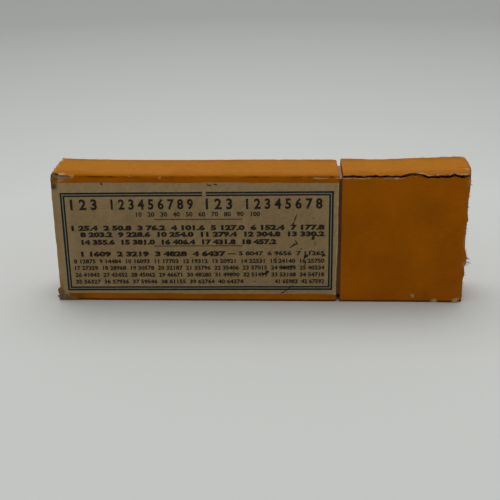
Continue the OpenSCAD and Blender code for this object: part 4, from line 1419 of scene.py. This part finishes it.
# The floor's colour darkens, a painted falloff of the light, from the first to the second distance in mm,
# by this power of the way between them
FLOOR_FADE = (130, 560, 0.75)
# Place and width of the soft lamp in metres; it faces the box's foot
KEY_PLACE = (-0.05, 0.36, 1.25)
KEY_SIZE = 1.3


class MAPMEASURER_OT_stage(bpy.types.Operator):
    """Pale floor, soft light from above and behind, and the camera of the picture"""
    bl_idname = "mapmeasurer.stage"
    bl_label = "Stage"

    def execute(self, context):
        settings = context.scene.stage_settings
        self.floor(settings)
        self.lights(context, settings)
        self.camera(context)
        context.scene.view_settings.view_transform = "Standard"
        return {"FINISHED"}

    @staticmethod
    def floor(settings):
        """Round sheet of matt paper that the box stands on."""
        deselect()
        bpy.ops.mesh.primitive_circle_add(vertices=128, radius=settings.floor_radius, fill_type="NGON")
        floor = named("floor")
        material, tree, shader, places = new_material("matt_backdrop_paper")
        # Painted falloff of the light: the paper's colour darkens away from the box, fast at first
        across = add_node(tree, "VectorMath", {0: places}, operation="LENGTH").outputs["Value"]
        start, end, power = FLOOR_FADE
        away = add_node(tree, "MapRange", {0: across, 1: start, 2: end, 3: 0, 4: 1}).outputs[0]
        away = add_node(tree, "Math", {0: away, 1: power}, operation="POWER").outputs[0]
        tint = add_node(tree, "Mix", {MIX_FACTOR: away, MIX_A: [*settings.floor, 1],
                                      MIX_B: [*settings.floor_far, 1]}, data_type="RGBA").outputs[MIX_OUT]
        set_inputs(tree, shader, {"Base Color": tint, "Roughness": 0.9, "Specular IOR Level": 0.1})
        floor.data.materials.append(material)

    @staticmethod
    def lights(context, settings):
        """A broad soft lamp above and behind the box, and an even sky."""
        deselect()
        bpy.ops.object.light_add(type="AREA", location=KEY_PLACE)
        key = bpy.context.object
        key.name = "key_light"
        key.data.shape = "DISK"
        key.data.size = KEY_SIZE
        key.data.energy = settings.key
        key.rotation_euler = (-Vector(KEY_PLACE)).to_track_quat("-Z", "Y").to_euler()
        world = bpy.data.worlds.new("even_sky")
        world.use_nodes = True
        background = world.node_tree.nodes["Background"]
        background.inputs["Color"].default_value = [1, 1, 1, 1]
        background.inputs["Strength"].default_value = settings.sky
        context.scene.world = world

    @staticmethod
    def camera(context):
        """The camera that the picture was taken from."""
        ahead = Vector((math.sin(CAMERA_YAW) * math.cos(CAMERA_TILT),
                        math.cos(CAMERA_YAW) * math.cos(CAMERA_TILT), -math.sin(CAMERA_TILT)))
        right = Vector((math.cos(CAMERA_YAW), -math.sin(CAMERA_YAW), 0))
        up = right.cross(ahead)
        across = math.cos(CAMERA_ROLL) * right + math.sin(CAMERA_ROLL) * up
        above = -math.sin(CAMERA_ROLL) * right + math.cos(CAMERA_ROLL) * up
        turn = Matrix((across, above, -ahead)).transposed()
        deselect()
        bpy.ops.object.camera_add()
        camera = bpy.context.object
        camera.name = "picture_camera"
        camera.data.sensor_width = SENSOR
        camera.data.lens = FOCAL_PIXELS * SENSOR / IMAGE_SIDE
        camera.data.clip_start = 0.01
        camera.matrix_world = Matrix.Translation(Vector(CAMERA_PLACE) * MM) @ turn.to_4x4()
        context.scene.camera = camera


OPERATORS = (
    MAPMEASURER_OT_stage,
    MAPMEASURER_OT_body_wrap,
    MAPMEASURER_OT_cap_wrap,
    MAPMEASURER_OT_boards,
    MAPMEASURER_OT_label,
    MAPMEASURER_OT_label_print,
    MAPMEASURER_OT_torn_fibres,
    MAPMEASURER_OT_dial_print,
    MAPMEASURER_OT_metalwork,
)


class MAPMEASURER_PT_sidebar(bpy.types.Panel):
    """Sizes, colours and steps of the map measurer"""
    bl_label = "Map Measurer"
    bl_idname = "MAPMEASURER_PT_sidebar"
    bl_space_type = "VIEW_3D"
    bl_region_type = "UI"
    bl_category = "Map Measurer"

    def draw(self, context):
        for settings in (context.scene.box_sizes, context.scene.box_colours, context.scene.stage_settings):
            column = self.layout.column()
            for name in settings.__annotations__:
                column.prop(settings, name)
        for operator in OPERATORS:
            self.layout.operator(operator.bl_idname)


CLASSES = (BoxSizes, BoxColours, StageSettings, *OPERATORS, MAPMEASURER_PT_sidebar)


def register():
    for cls in CLASSES:
        bpy.utils.register_class(cls)
    bpy.types.Scene.box_sizes = PointerProperty(type=BoxSizes)
    bpy.types.Scene.box_colours = PointerProperty(type=BoxColours)
    bpy.types.Scene.stage_settings = PointerProperty(type=StageSettings)


def unregister():
    del bpy.types.Scene.box_sizes
    del bpy.types.Scene.box_colours
    del bpy.types.Scene.stage_settings
    for cls in reversed(CLASSES):
        bpy.utils.unregister_class(cls)


def main():
    register()
    for operator in OPERATORS:
        group, step = operator.bl_idname.split(".")
        getattr(getattr(bpy.ops, group), step)()


if __name__ == "__main__":
    main()
